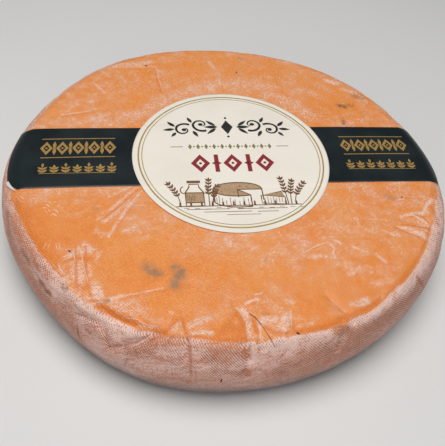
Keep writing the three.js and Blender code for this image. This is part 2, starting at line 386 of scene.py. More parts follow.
bloomMarks = [
    # broad speckled areas on the top
    ([(150, 108), (172, 96), (205, 86), (240, 82), (270, 86)], 15, 0.66),
    ([(265, 94), (292, 104), (312, 116)], 14, 0.66),
    ([(96, 124), (120, 121), (142, 112)], 13, 0.62),
    ([(52, 124), (72, 126)], 8, 0.6),
    ([(80, 100), (110, 92), (140, 84)], 12, 0.5),
    ([(330, 118), (352, 120), (380, 118)], 10, 0.5),
    ([(128, 216), (140, 232)], 12, 0.55),
    ([(76, 120), (92, 124), (118, 124)], 9, 0.5),
    ([(305, 215), (330, 200), (352, 196)], 14, 0.38),
    ([(300, 235), (318, 228)], 11, 0.45),
    ([(380, 238), (402, 246), (418, 250)], 11, 0.45),
    ([(395, 264), (404, 256)], 8, 0.45),
    ([(290, 262), (312, 276), (326, 284)], 9, 0.4),
    ([(200, 248), (232, 250)], 12, 0.25),
    # patches
    ([(64, 284), (74, 292), (86, 300)], 7, 0.7),
    ([(60, 268), (68, 276)], 6, 0.62),
    ([(72, 262), (73, 276)], 3.5, 0.75),
    ([(80, 262), (81, 286)], 3.8, 0.85),
    ([(89, 264), (90, 276)], 3, 0.7),
    ([(94, 284), (99, 296)], 5.5, 0.9),
    ([(78, 250), (91, 250)], 5.5, 0.8),
    ([(66, 257), (78, 252)], 3.2, 0.75),
    ([(84, 243), (89, 247)], 4, 0.75),
    ([(111, 300), (124, 303), (134, 301)], 4.5, 0.75),
    ([(112, 305), (124, 309), (136, 310)], 5, 0.7),
    ([(117, 312), (128, 316), (136, 314)], 4, 0.65),
    ([(137, 303), (146, 316)], 4.5, 0.6),
    ([(140, 325), (158, 327)], 2.5, 0.8),
    ([(150, 318), (162, 321)], 3.5, 0.6),
    ([(172, 330), (180, 322)], 4.5, 0.75),
    ([(190, 324), (208, 318)], 5, 0.72),
    ([(192, 333), (212, 333)], 2.6, 0.85),
    ([(218, 316), (232, 311)], 4.5, 0.5),
    ([(229, 329), (236, 322)], 4, 0.35),
    ([(242, 307), (249, 318), (250, 334)], 3, 0.85),
    ([(259, 308)], 5, 0.6),
    ([(264, 320), (275, 319)], 4.2, 0.98),
    ([(283, 326), (287, 318)], 5.5, 1),
    ([(276, 330), (284, 333)], 3, 0.75),
    ([(255, 336), (262, 338)], 3, 0.8),
    ([(298, 318), (308, 321), (318, 317)], 4, 0.5),
    ([(300, 326), (312, 323)], 2.5, 0.65),
    ([(354, 304), (368, 301)], (4, 5.5), 0.8),
    ([(334, 301), (344, 308)], 3, 0.5),
    ([(378, 284), (390, 280)], 5.5, 0.65),
    ([(350, 273), (360, 268)], 4.5, 0.7),
    ([(312, 256), (326, 256)], 4, 0.75),
    ([(336, 240), (342, 244)], 2.4, 0.8),
    ([(352, 246), (364, 251)], 2.4, 0.8),
    ([(377, 254), (386, 262)], 2.2, 0.85),
    ([(355, 217), (359, 221)], 2.8, 0.7),
    ([(372, 219), (390, 220)], 2, 0.7),
    ([(385, 231), (398, 236)], 3, 0.75),
    ([(336, 222), (347, 218)], 3, 0.55),
    ([(327, 196), (334, 208)], 3, 0.6),
    ([(390, 205), (416, 202)], 4, 0.45),
    ([(330, 226), (352, 232), (376, 228)], 12, 0.55),
    ([(340, 262), (366, 270)], 9, 0.6),
    ([(322, 264), (340, 282), (350, 288)], 6, 0.4),
    ([(388, 240), (404, 252)], 6, 0.5),
    ([(380, 270), (396, 268)], 7, 0.55),
    ([(374, 284), (390, 280)], 5, 0.6),
    ([(296, 210), (320, 232)], 9, 0.5),
    ([(270, 285), (290, 300)], 7, 0.55),
    ([(260, 300), (285, 312)], 6, 0.6),
    ([(332, 314), (344, 312)], 3.5, 0.45),
    ([(372, 300), (400, 282)], 3.5, 0.5),
    # pressed wedges at the right edge, narrow end first
    ([(400, 216), (412, 213), (427, 212)], (1.2, 3.4), 0.95),
    ([(414, 215), (425, 220), (431, 225)], (1.2, 1.8), 1.05),
    ([(402, 219.5), (416, 221), (429, 225)], (1.6, 3.4), 0.75),
    ([(397, 225.5), (408, 228), (424, 234)], (1.1, 4), 0.92),
    ([(427, 230), (429, 231)], 1.6, 1.2),
    ([(425, 236), (427, 238)], 2, 1.2),
    ([(414, 198), (422, 204)], 6, 0.66),
    ([(431, 199), (427, 206), (424, 210)], (3.4, 1.6), 1.1),
    ([(435, 199), (438, 206)], 2.6, 0.9),
    ([(394, 231), (400, 235)], 3, 0.65),
    ([(408, 237), (415, 240)], 2.4, 0.5),
    ([(392, 190), (410, 188)], 5, 0.6),
    # fan at the label's lower left
    ([(141, 191), (134, 200), (127, 209), (120, 219)], (1.7, 2.4), 0.88),
    ([(133, 200), (118, 211), (104, 221)], (2.4, 3.4), 0.72),
    ([(117, 222), (113, 230), (108, 236)], 2, 0.8),
    ([(137, 187), (122, 199), (110, 210)], (1.7, 2.4), 0.78),
    ([(132, 186), (120, 191), (112, 195)], 2.6, 0.75),
    ([(106, 211), (101, 214)], 3, 0.6),
    ([(97, 230), (103, 234)], 4, 0.65),
    ([(130, 214), (140, 220), (148, 226)], 6, 0.62),
    ([(124, 230), (134, 228)], 4.5, 0.62),
    ([(138, 238), (148, 236)], 5, 0.6),
    ([(104, 213), (98, 218)], 3.5, 0.55),
    ([(97, 231), (104, 235)], 4.5, 0.5),
    ([(76, 213), (88, 210)], 2.4, 0.6),
    ([(100, 252), (96, 260)], 2.6, 0.65),
    # back of the top
    ([(112, 66), (130, 64), (152, 62)], 5, 0.8),
    ([(90, 84), (106, 71)], 3, 0.6),
    ([(74, 119), (80, 123)], 5, 0.75),
    ([(34, 126), (42, 126)], 5, 0.8),
    ([(209, 62), (215, 69)], 3, 0.75),
    ([(326, 80), (336, 83)], 4.5, 0.95),
    ([(344, 89), (356, 94), (366, 101)], 4, 0.75),
    ([(188, 56), (194, 57)], 4, 0.6),
]

whiteLines = [
    ([(84, 308), (88, 305.5), (100, 301.5), (112, 297.4), (122, 295)], 1.5, 1),
    ([(122, 295), (136, 292.5), (150, 290), (163, 287.2)], 0.9, 0.8),
    ([(163, 287.2), (188, 283), (212, 279), (229, 276)], 0.7, 0.4),
    ([(88, 298), (104, 297)], 0.9, 0.8),
    ([(60, 279), (66, 278), (70, 283)], 1.2, 0.9),
    ([(128, 299), (137, 303), (141, 314)], 1, 0.6),
    ([(116, 311), (126, 316), (137, 320)], 1, 0.6),
    ([(137, 322), (147, 325), (158, 327)], 0.9, 0.75),
    ([(188, 327), (200, 322), (211, 316.5)], 0.9, 0.8),
    ([(236.5, 306), (243, 313), (247, 322), (248.5, 334), (250, 346)], 1.1, 0.9),
    ([(245, 303.5), (251, 300.6), (258, 299)], 1.3, 1),
    ([(254, 294.5), (259, 293.8), (263, 292)], 1, 0.9),
    ([(257, 320), (260, 328), (261, 338)], 1.1, 0.95),
    ([(260, 324), (268, 333), (276, 338)], 0.8, 0.7),
    ([(290.8, 310), (291.5, 320), (292.5, 331)], 0.9, 0.8),
    ([(170, 311), (172, 312.5)], 1.4, 0.9),
    ([(151, 338), (142, 342), (133, 345.5), (120, 349)], 1.2, 0.85),
    ([(192, 338), (192.5, 350), (194, 372)], 1, 0.7),
    ([(306, 251), (317, 245.5), (328, 242)], 0.8, 0.9),
    ([(330, 243), (335, 248), (333, 254), (336, 257.5)], 0.9, 0.95),
    ([(344, 236), (356, 230), (366, 226)], 0.7, 0.45),
    ([(362, 269), (375, 273)], 0.8, 0.6),
    ([(392, 266), (404, 272)], 0.7, 0.6),
    ([(330, 302), (341, 308), (347, 311)], 0.9, 0.7),
    ([(362, 298), (370, 303)], 1, 0.9),
    ([(356, 306), (368, 304)], 1, 0.8),
    ([(420, 197), (424, 199), (426.5, 197.5), (424, 195.6), (420, 196)], 0.7, 0.8),
    ([(396, 200), (404, 198)], 0.8, 0.8),
    ([(436, 199), (435, 213), (434, 224)], 1, 0.8),
    ([(339, 103.5), (344, 103)], 1, 0.9),
    ([(355, 99.5), (365, 101)], 1.1, 0.8),
    ([(412, 214), (422, 217.5), (432, 224.5)], 0.9, 0.9),
    ([(400, 217), (410, 214.5), (420, 211)], 0.8, 0.8),
    ([(398, 227), (410, 228.5), (428, 230)], 0.8, 0.7),
    ([(423, 212), (427, 206), (431, 200)], 1, 0.9),
    ([(73, 250), (75, 260)], 0.8, 0.8),
    ([(68, 243), (66, 252)], 0.6, 0.5),
    ([(57, 244), (60, 253)], 0.6, 0.5),
    ([(48, 243), (46, 249)], 0.6, 0.5),
    ([(60, 114.3), (74, 112.5), (88, 110.6), (97, 108.5)], 1.1, 0.9),
    ([(41, 117), (52, 115)], 0.9, 0.6),
    ([(94, 82), (99, 86.5), (105, 93)], 1.2, 0.85),
    ([(101, 71), (106, 73.5), (110, 76.5)], 1.2, 0.8),
    ([(118, 67), (137, 67), (156, 66)], 1.1, 0.8),
    ([(155.5, 66), (158, 76), (163, 92)], 1, 0.55),
    ([(158, 69), (163, 78), (167, 87)], 1, 0.45),
    ([(127, 58), (136, 56), (148, 54)], 1.2, 0.7),
    ([(208, 61), (212, 68)], 1.1, 0.7),
    ([(310, 66), (322, 72), (331, 77)], 0.8, 0.6),
]

deepLines = [
    # grooves where the skin is bare and darker; the last value is how deep they are pressed
    ([(97, 307.5), (105, 311.5), (114, 316.5), (124, 321), (134, 325.5)], (3, 1.6), 1, 0.9),
    ([(100, 306.5), (110, 310.5), (121, 315.5), (132, 320)], 1.8, 0.95, 0.4),
    ([(90, 301), (98, 302), (104, 299)], 1.6, 0.7, 0.3),
    ([(158, 334), (168, 336), (184, 337)], 1.3, 0.8, 0.4),
    ([(124, 316), (133, 322.5), (150, 325), (160, 329)], 1, 0.85, 0.5),
    ([(137, 330), (152, 331), (163, 333)], 1.5, 0.8, 0.5),
    ([(122, 312), (130, 317), (138, 323)], 0.9, 0.9, 0.4),
    ([(133, 320), (147, 322.5), (162, 326)], 0.8, 0.85, 0.4),
    ([(136, 312), (142, 318), (150, 322)], 0.7, 0.6, 0.3),
    ([(177, 318), (166, 331), (158, 338), (150, 341)], 1.5, 0.95, 0.7),
    ([(182.3, 316), (184.6, 326), (187.5, 336), (189.3, 346), (190.4, 360), (191, 377)],
     (1.3, 0.9), 1, 0.9),
    ([(190, 336.5), (201, 337), (213, 339)], 1.2, 0.9, 0.5),
    ([(218, 340), (224, 327), (237, 311), (244, 322), (246, 340)], 2.6, 0.55, 0.2),
    ([(220, 341), (246, 341)], 2, 0.85, 0.4),
    ([(248, 333), (250.5, 348), (251, 362)], 0.9, 0.8, 0.7),
    ([(254, 318), (257.5, 330), (258, 344)], (1.8, 1.2), 0.9, 0.6),
    ([(266, 327), (276, 333), (288, 333)], 1.5, 0.85, 0.4),
    ([(292.5, 322), (294, 332), (312, 329.5), (328, 326), (342, 321)], 2.2, 0.85, 0.3),
    ([(338, 319), (348, 316), (356, 314), (368, 308), (380, 300)], 2.6, 0.9, 0.3),
    ([(327.6, 296.6), (338, 306), (350.5, 318.3)], 1, 0.45, 0.4),
    ([(388, 293), (404, 279), (415, 264), (422, 250)], 3, 0.45, 0.3),
    ([(422, 250), (427, 240), (430, 228)], 1.4, 0.8, 0.4),
    ([(402, 224), (418, 225.6), (432, 228)], 1, 1, 0.8),
    ([(396, 226.6), (410, 232.5), (420, 237), (427, 241)], 1, 0.75, 0.6),
    ([(416, 213.6), (424, 216.6), (428, 220), (432, 226)], 0.9, 0.85, 0.6),
    ([(401, 197), (418, 198), (438, 198.5)], 0.8, 0.7, 0.5),
    ([(431, 206), (435, 212)], 2.6, 0.8, 0.4),
    ([(75.6, 246), (76, 262), (75.8, 285)], 0.9, 0.9, 0.5),
    ([(85.5, 246), (86, 265), (88, 285), (90, 296)], 0.9, 0.9, 0.5),
    ([(76, 285), (84, 288), (88, 286)], 2, 0.7, 0.2),
    ([(66, 259), (78, 258), (92, 258)], 1.4, 0.6, 0.2),
    ([(16, 200), (22, 216), (32, 234), (45, 253), (56, 266)], 4.5, 0.55, 0),
    ([(139, 188), (130, 196.5), (118, 206.5), (105, 217)], 0.9, 0.75, 0.6),
    ([(134, 186.5), (126, 190.5), (118, 195)], 0.7, 0.7, 0.5),
    ([(133, 205), (125, 216), (118, 225)], 0.8, 0.6, 0.4),
    ([(155, 70), (158, 82), (161, 92)], 1.2, 0.6, 0.3),
    ([(100, 109), (88, 112.3), (70, 114.5)], 0.8, 0.5, 0.4),
]

redLines = [
    # creases on the pale side, with their depths
    ([(73, 314), (84, 316.5), (92.5, 321), (98, 327), (104, 335), (107, 347)], 0.8, 0.8, 0.35),
    ([(77, 327), (79.5, 339)], 0.9, 0.8, 0.3),
    ([(148, 336), (137, 343), (125, 347.5), (107, 349)], 0.9, 0.85, 0.5),
    ([(190.4, 340), (190.8, 360), (191, 377)], 0.9, 0.8, 0.2),
    ([(343, 326), (342, 336)], 3, 0.55, 0.2),
    ([(347, 326), (353, 333)], 2.6, 0.6, 0.1),
    ([(352, 334), (350, 341)], 1.2, 0.6, 0.2),
    ([(418, 277), (421, 281), (424, 287)], 1.2, 1, 0.6),
    ([(60, 304), (68, 316), (76, 326)], 1.2, 0.5, 0.2),
    ([(84, 333), (88, 329), (91, 331), (89, 336), (84, 336)], 0.8, 0.6, 0.2),
    ([(246, 345), (244, 352)], 1.2, 0.7, 0.1),
    ([(249, 349), (249.5, 359)], 0.8, 0.8, 0.2),
    ([(260, 347), (259, 353)], 1.2, 0.6, 0.1),
    ([(265, 372), (268, 378)], 1.4, 0.6, 0.1),
    ([(190, 378), (192, 386)], 1.2, 0.5, 0.1),
    ([(157, 344), (152, 352), (147, 360)], 0.9, 0.6, 0.2),
    ([(126, 352), (150, 354), (176, 352)], 0.8, 0.4, 0.1),
    ([(195, 380), (217, 380)], 0.7, 0.55, 0),
    ([(145, 337), (152, 345), (158, 350)], 0.8, 0.7, 0.2),
    ([(168, 341), (171, 348)], 0.9, 0.6, 0.1),
    ([(72, 302), (80, 310), (92, 316)], 0.7, 0.6, 0.1),
    ([(112, 351), (118, 356)], 0.8, 0.5, 0.1),
    ([(222, 344), (226, 352)], 1.1, 0.6, 0.1),
    ([(276, 344), (281, 352)], 0.8, 0.45, 0.1),
    ([(300, 346), (309, 340)], 0.8, 0.5, 0.1),
    ([(362, 322), (369, 331)], 0.9, 0.55, 0.2),
    ([(48, 262), (60, 283), (74, 300)], 0.8, 0.35, 0),
]

mouldMarks = [
    ([(147, 266.5), (157, 273)], 7, 0.56),
    ([(176, 268), (180, 274), (176, 285)], 7.5, 0.56),
    ([(146, 265.5), (150, 271)], 3.2, 0.95),
    ([(152, 271), (158, 273)], 4.4, 1),
    ([(173, 267), (178, 267)], 2.8, 0.8),
    ([(181, 272), (178, 278), (175, 283)], 4.4, 1),
    ([(105, 300.5), (108, 299.5)], 1.8, 0.9),
    ([(63, 287.5), (66, 289)], 2.6, 0.75),
    ([(387, 196), (395, 198)], 3.8, 0.6),
    ([(421, 198)], 1.2, 0.5),
    ([(264, 261), (267, 259)], 1.6, 0.5),
    ([(214, 238)], 2, 0.4),
    ([(93, 208), (98, 209)], 3, 0.4),
    ([(263, 313), (269, 314)], 1.6, 0.6),
    ([(239, 57.5), (242, 59)], 2.2, 0.7),
    ([(247, 60)], 1.6, 0.6),
    ([(235, 74), (242, 77)], 0.9, 0.6),
    ([(145, 66), (147, 65.5)], 1.2, 0.6),
    ([(268, 62)], 2, 0.35),
    ([(258, 295.5), (265, 291.5)], 0.6, 0.6),
    ([(62, 110)], 1.2, 0.4),
    ([(341, 118), (345, 124)], 4, 0.45),
    ([(338, 104), (352, 106)], 4, 0.62),
    ([(352, 96), (362, 99)], 3.8, 0.6),
    ([(354, 110), (366, 112)], 4, 0.25),
]

brownMarks = [
    ([(340, 105.5), (345, 106.5)], 3, 0.9),
    ([(343.5, 120), (343, 123.5)], 2.4, 0.75),
    ([(355, 94.5), (361, 98)], 3.2, 0.62),
    ([(349, 104), (353, 106)], 2.4, 0.6),
    ([(61, 287), (64, 292), (68, 290), (66, 285), (62, 284), (61, 287)], 0.8, 0.75),
    ([(56, 300), (59, 303)], 1.8, 0.5),
    ([(367, 113)], 1.2, 0.5),
    ([(86, 331), (90, 334)], 2, 0.6),
    ([(127, 359), (124, 366)], 1.5, 0.6),
    ([(156, 360), (157, 371)], 0.9, 0.55),
    ([(68, 302), (72, 306)], 1.4, 0.35),
    ([(22, 253), (28, 260)], 2.2, 0.35),
    ([(40, 283), (43, 286)], 2, 0.75),
    ([(45, 291), (50, 295)], 1.8, 0.8),
    ([(37, 275), (39, 279)], 1.6, 0.5),
    ([(24, 256), (27, 260)], 1.8, 0.6),
    ([(77, 329), (79, 338)], 1.2, 0.8),
]

cleanMarks = [
    ([(120, 250), (150, 256), (178, 296)], 17, 0.9),
    ([(62, 228), (92, 226)], 11, 0.8),
    ([(146, 264), (160, 274), (176, 280)], 9, 0.9),
    ([(205, 270), (245, 282), (300, 292)], 14, 0.7),
    ([(226, 336), (236, 318), (242, 338)], 7, 1),
    ([(330, 278), (360, 288)], 12, 0.6),
    ([(252, 322), (254, 334)], 3.5, 1),
    ([(103, 309), (128, 320)], 3, 0.9),
    ([(330, 101), (348, 103)], 10, 0.8),
    ([(170, 70), (230, 64), (290, 70)], 9, 0.35),
    ([(20, 205), (36, 238), (60, 262)], 6, 0.8),
    ([(40, 212), (62, 238)], 8, 0.7),
    ([(124, 285), (138, 289)], 5, 0.7),
    ([(176, 300), (214, 300)], 7, 0.7),
    ([(262, 287), (276, 292)], 6, 0.6),
    ([(300, 302), (322, 312)], 8, 0.7),
    ([(316, 296), (350, 300)], 8, 0.8),
    ([(404, 270), (420, 246)], 5, 0.8),
    ([(362, 262), (378, 258)], 6, 0.5),
    ([(300, 325), (326, 322), (348, 311)], 4, 0.9),
]

# On the side: where the powder is thicker, and where the skin shows through; the long low rows at the left
# and at the right front paint shade.
palerMarks = [
    ([(438, 205), (437, 225), (433, 245)], 4.5, 0.3),
    ([(433, 245), (424, 268), (408, 290)], 6.5, 0.42),
    ([(15, 203), (26, 232), (48, 262), (66, 282)], 3.4, 0.14),
    ([(78, 302), (98, 313), (120, 325), (142, 332)], 4.5, 0.16),
    ([(54, 280), (78, 306)], 6, 0.12),
    ([(108, 327), (128, 336)], 5, 0.15),
    ([(194, 341), (200, 352)], 5, 0.4),
    ([(250, 346), (254, 362)], 3.6, 0.4),
    ([(262, 345), (280, 343), (296, 340)], 4.5, 0.4),
    ([(300, 340), (330, 333)], 5, 0.25),
    ([(352, 322), (372, 312), (388, 302)], 5, 0.5),
    ([(402, 288), (418, 270), (428, 254)], 6, 0.5),
    ([(342, 340), (352, 330)], 5, 0.3),
    ([(150, 380), (200, 386), (250, 385)], 9, 0.15),
    ([(96, 352), (130, 372)], 8, 0.4),
    ([(130, 362), (160, 370), (184, 370)], 6, 0.2),
    ([(202, 368), (232, 372)], 6, 0.25),
    ([(162, 352), (182, 351)], 5, 0.2),
]

barerAndShadeMarks = [
    ([(7, 214), (10, 236)], 3, 0.7),
    ([(22, 251), (28, 262)], 2.6, 0.8),
    ([(34, 262), (39, 269)], 2.4, 0.8),
    ([(40, 282), (43, 286)], 2.4, 0.9),
    ([(45, 290), (49, 293)], 2.2, 0.9),
    # painted shade low on the left side, in this row and the next
    ([(8, 232), (14, 252), (32, 282), (54, 312)], 6.5, 0.5),
    ([(12, 220), (26, 246), (48, 276)], 5, 0.42),
    ([(60, 312), (74, 330)], 6, 0.3),
    ([(152, 341), (168, 343), (184, 341)], 4, 0.4),
    ([(196, 345), (222, 352), (244, 352)], 4.5, 0.45),
    ([(126, 352), (146, 350)], 4, 0.35),
    ([(204, 358), (226, 360)], 4, 0.4),
    ([(214, 371), (250, 374)], 2.5, 0.45),
    ([(243, 352), (247, 357)], 2.2, 0.8),
    ([(245, 371), (249, 375)], 2, 0.8),
    ([(300, 352), (330, 346)], 4, 0.15),
    # painted shade low on the right front side
    ([(280, 372), (320, 366), (356, 346)], 8, 0.35),
    ([(338, 327), (350, 333)], 4.5, 0.7),
    # painted shade low on the right front side
    ([(290, 366), (330, 352), (372, 328), (400, 308), (416, 290)], 8, 0.42),
    ([(432, 210), (438, 224)], 3, 0.5),
]

# Folds pressed by the cloth, the same as in the solid: a path of azimuth and reach, half width and depth
folds = [
    ([(-109, 15), (-107, 7), (-105.5, -4), (-104.2, -28)], 3, 1.5),
    ([(-110, 10), (-113, -3), (-117, -9), (-123, -24)], 3, 1.3),
    ([(-129, 0), (-123.6, -2), (-119, -1), (-112.5, -1)], 2.8, 1.7),
    ([(-133.5, -14), (-128, -9), (-125, -12), (-123.5, -23)], 3, 1.3),
    ([(-95, 22), (-93, 14), (-92, 0), (-91.5, -14)], 3, 1.5),
    ([(-91, 17), (-89.4, 0), (-89.5, -6)], 2.6, 1.2),
    ([(-80, 14), (-81.4, 0)], 2.6, 0.9),
    ([(-68, 20), (-66, -2), (-68, -8), (-71, -23)], 3, 1.4),
    ([(-131, 8), (-127, 7), (-123, 19), (-110, 38)], 2.8, 0.9),
    ([(-26, 24), (-25, 0)], 2.8, 1.2),
    ([(-30, 24), (-30.5, 0)], 2.6, 1),
    ([(-26, 24), (-19, 8)], 2.6, 1),
    ([(-43.3, -4), (-39.2, -21)], 3, 1),
    ([(158, 8), (150, 31)], 2.6, 0.8),
    ([(135, 6), (139, 30)], 2.6, 0.8),
    ([(36, -8), (41, -20), (38, -38)], 3.4, 1.3),
    ([(74, -10), (71, -20), (75, -36)], 3.4, 1.4),
    ([(104, -9), (108, -22), (103, -42)], 3.4, 1.5),
    ([(146, -8), (142, -20), (147, -38)], 3.4, 1.2),
]

dents = [
    {"at": (-124, -3), "radius": 17, "depth": 2.6},
    {"at": (-97, 8), "radius": 13, "depth": 1.1},
    {"at": (-25, 8), "radius": 11, "depth": 1.3},
    {"at": (-70, -12), "radius": 12, "depth": 1},
    {"at": (-137, -16), "radius": 14, "depth": 1.2},
    {"at": (63, -32), "radius": 20, "depth": 1.6},
    {"at": (118, -34), "radius": 18, "depth": 1.8},
]

# The papers, here because the rind is smoother under the band
band = {
    "middle": 8.8,                                 # its middle line, behind the wheel's axis
    "halfWidth": 31.0,
    "bendReach": 12.0,                             # near the reach where it leaves the flat top
    "lowestReach": -16,                            # the rind is plain below this
    "lift": 0.06,
    "thickness": 0.2,
    "wave": 0.12,                                  # height of the paper's gentle waves about their mean
    "rows": 41,
    "flatHalf": 128.0,
    "flatStations": 90,
    "bendStations": 44,
    # reach where the paper stops, from its -Y edge to its +Y edge; a corner is folded back on the left
    "endShares": (0.0, 0.15, 1.0),
    "ends": {"left": (2.6, -3.6, -4.2), "right": (-3.0, -4.6, -14.0)},
}

label = {
    "radius": 75.0,
    "middle": (1.9, 6.9),
    "lift": 0.05,
    "thickness": 0.2,
    "ramp": 5.0,                                   # width in which it comes down beside the band
    "ripple": 0.05,
    # the edge stands up at the front left: azimuth and spread in degrees, radius where it starts, height
    "raised": (-150, 40, 66, 0.35),
    "rings": 62,
    "sectors": 380,
}

# slow unevenness of the pale side's edge, the top and the side: wavelength, amount and seed of each part
unevenness = {
    "edge": [(5.0, 0.9, 1), (1.8, 0.6, 2)],
    "top": [(26.0, 0.35, 3), (9.0, 0.16, 4)],
    "side": [(14.0, 0.5, 5), (5.0, 0.2, 6)],
}

cheeseMesh = {
    # degrees at which the column spacing changes, and the columns between them
    "turns": (-153.0, -60.0, -10.0, 60.0, 207.0),
    "columns": (276, 122, 72, 192),
    "topRings": 62,                                # from the shoulder in to just under the label
    "topInner": 70.0,                              # radius at which the fine rings stop
    "shoulderRings": 16,
    "sideRings": 40,
    "footRings": 7,
    "innerRings": 5,
    "underRings": 6,
    "thinnestPress": 1.1,                          # least half width of a pressed line
}


def lumpField(points, wavelength, seed):
    offset = Vector((seed * 7.3, seed * 3.1, seed * 5.7))
    return np.array([noise.noise(Vector(p) / wavelength + offset) for p in points])


def cheeseGrid():
    # columns of azimuth against rings of reach, from the foot up, over the shoulder and in under the label
    turns = cheeseMesh["turns"]
    spans = zip(turns, turns[1:], cheeseMesh["columns"])
    columns = [np.linspace(start, end, count, endpoint=False) for start, end, count in spans]
    azimuth = np.radians(np.concatenate(columns))
    shoulder, top = shoulderRadius(azimuth), topEdgeHeight(azimuth)
    topStart = (1 - outerShare) * shoulder
    footAngles = np.linspace(0, math.pi / 2, cheeseMesh["footRings"])[1:]
    footReach = wheel["footRadius"] * (1 - np.cos(footAngles))[:, None] - top
    sideShare = np.linspace(0, 1, cheeseMesh["sideRings"])[1:, None]
    sideReach = footReach[-1] + (-shoulder - footReach[-1]) * sideShare
    bendShare = np.linspace(0, 1, cheeseMesh["shoulderRings"])[1:, None]
    bendReach = -shoulder + (topStart + shoulder) * bendShare
    innerReach = outlineRadius(azimuth) - edgeInset(azimuth) - cheeseMesh["topInner"]
    topShare = np.linspace(0, 1, cheeseMesh["topRings"])[1:, None]
    topReach = topStart + (innerReach - topStart) * topShare
    return azimuth, np.concatenate([footReach, sideReach, bendReach, topReach])


azimuths, reaches = cheeseGrid()
gridAzimuth = np.broadcast_to(azimuths, reaches.shape)
skinPoints = plainPoint(gridAzimuth, reaches).reshape(-1, 3)
skinNormals = skinNormal(gridAzimuth, reaches).reshape(-1, 3)
flatAzimuth, flatReach = gridAzimuth.ravel(), reaches.ravel()


def unevenField(name):
    parts = unevenness[name]
    return sum(amount * lumpField(skinPoints, wavelength, seed) for wavelength, amount, seed in parts)


def bothEnds(width):
    return width if isinstance(width, tuple) else (width, width)


def paintField(marks):
    field = np.zeros(len(skinPoints))
    for path, width, amount in marks:
        strength = strokeStrength(skinPoints, skinAtPixels(path), *bothEnds(width))
        field = np.maximum(field, amount * strength)
    return field


def lineField(marks):
    # 1 on a line and 2/3 at its half width, less for a faint one, so that the shader cuts a sharp line
    field = np.zeros(len(skinPoints))
    for path, width, amount, *rest in marks:
        away = strokeDistance(skinPoints, skinAtPixels(path), *bothEnds(width))
        field = np.maximum(field, 1 - away / 3 - 0.34 * (1 - amount))
    return field


def pressField(marks):
    pressed = np.zeros(len(skinPoints))
    for path, width, amount, depth in marks:
        if depth:
            ends = width if isinstance(width, tuple) else bothEnds(max(cheeseMesh["thinnestPress"], width))
            pressed = np.maximum(pressed, depth * strokeStrength(skinPoints, skinAtPixels(path), *ends))
    return pressed


bloomField = paintField(bloomMarks)
whiteField = lineField(whiteLines)
deepField = lineField(deepLines)
redField = lineField(redLines)
cleanField = paintField(cleanMarks)
palerAndShadeField = paintField(palerMarks) - paintField(barerAndShadeMarks)
mouldField = paintField(mouldMarks)
brownField = paintField(brownMarks)
print("marks laid on the skin")

boundaryPoints = skinAtPixels(boundaryPixels)
boundaryTurn = np.degrees(azimuthOf(boundaryPoints))
boundaryReach = reachOf(boundaryPoints)
order = np.argsort(boundaryTurn)
hiddenBoundary = 0.5                               # reach of the pale side's edge where it doesn't show
boundaryTurns = np.concatenate([[-185], boundaryTurn[order], [15, 175]])
boundaryReaches = np.concatenate([[hiddenBoundary], boundaryReach[order], [hiddenBoundary] * 2])
wobble = unevenField("edge")
turnHere = np.degrees(flatAzimuth)
sideEdge = np.interp(turnHere - 360 * (turnHere > 180), boundaryTurns, boundaryReaches)
pastEdge = sideEdge - flatReach + wobble           # millimetres from the pale side's edge, down the side
sideField = smooth(-1.6, 1.6, pastEdge)
rimField = 1 - smooth(2, 9, np.abs(pastEdge))      # 1 along the edge of the pale side

# how much of each mark is pressed in, or stands out, and the least and the even depth in millimetres
reliefShare = {"folds": 0.8, "lines": 0.7, "white": 0.3, "bloom": 0.1, "even": 0.2, "least": -0.05}
relief = np.zeros(len(skinPoints))
for path, halfWidth, depth in folds:
    turns, foldReach = np.array(path).T
    line = plainPoint(np.radians(turns), foldReach)
    relief += depth * strokeStrength(skinPoints, line, halfWidth)
for dent in dents:
    centre = plainPoint(np.radians(dent["at"][0]), float(dent["at"][1]))
    away = np.linalg.norm(skinPoints - centre, axis=1) / dent["radius"]
    relief += dent["depth"] * np.where(away < 1, (1 - np.minimum(away, 1) ** 2) ** 2, 0)
relief = relief * reliefShare["folds"]
relief += pressField(deepLines) * reliefShare["lines"] + pressField(redLines) * reliefShare["lines"]
whiteRise = reliefShare["white"] * smooth(0.55, 0.95, whiteField) * (1 - sideField * 0.5)
relief -= whiteRise + reliefShare["bloom"] * bloomField
lumps, sideLumps = unevenField("top"), unevenField("side")
acrossBand = np.abs(skinPoints[:, 1] - wheel["axis"][1] - band["middle"])
belowBand = np.where(flatReach > band["lowestReach"], -50.0, 50.0)
fromBand = smooth(1.0, 4.0, np.maximum(acrossBand - band["halfWidth"], belowBand))
relief += reliefShare["even"] + (lumps * (1 - sideField) + sideLumps * sideField)
relief = np.maximum(relief, reliefShare["least"])
# half as deep under the band, so that its paper lies smooth
relief = relief * np.where(acrossBand < band["halfWidth"] + 1, 0.5 + 0.5 * fromBand, 1)
surfacePoints = skinPoints - skinNormals * (relief + wheel["skinBack"])[:, None]
print("relief pressed")


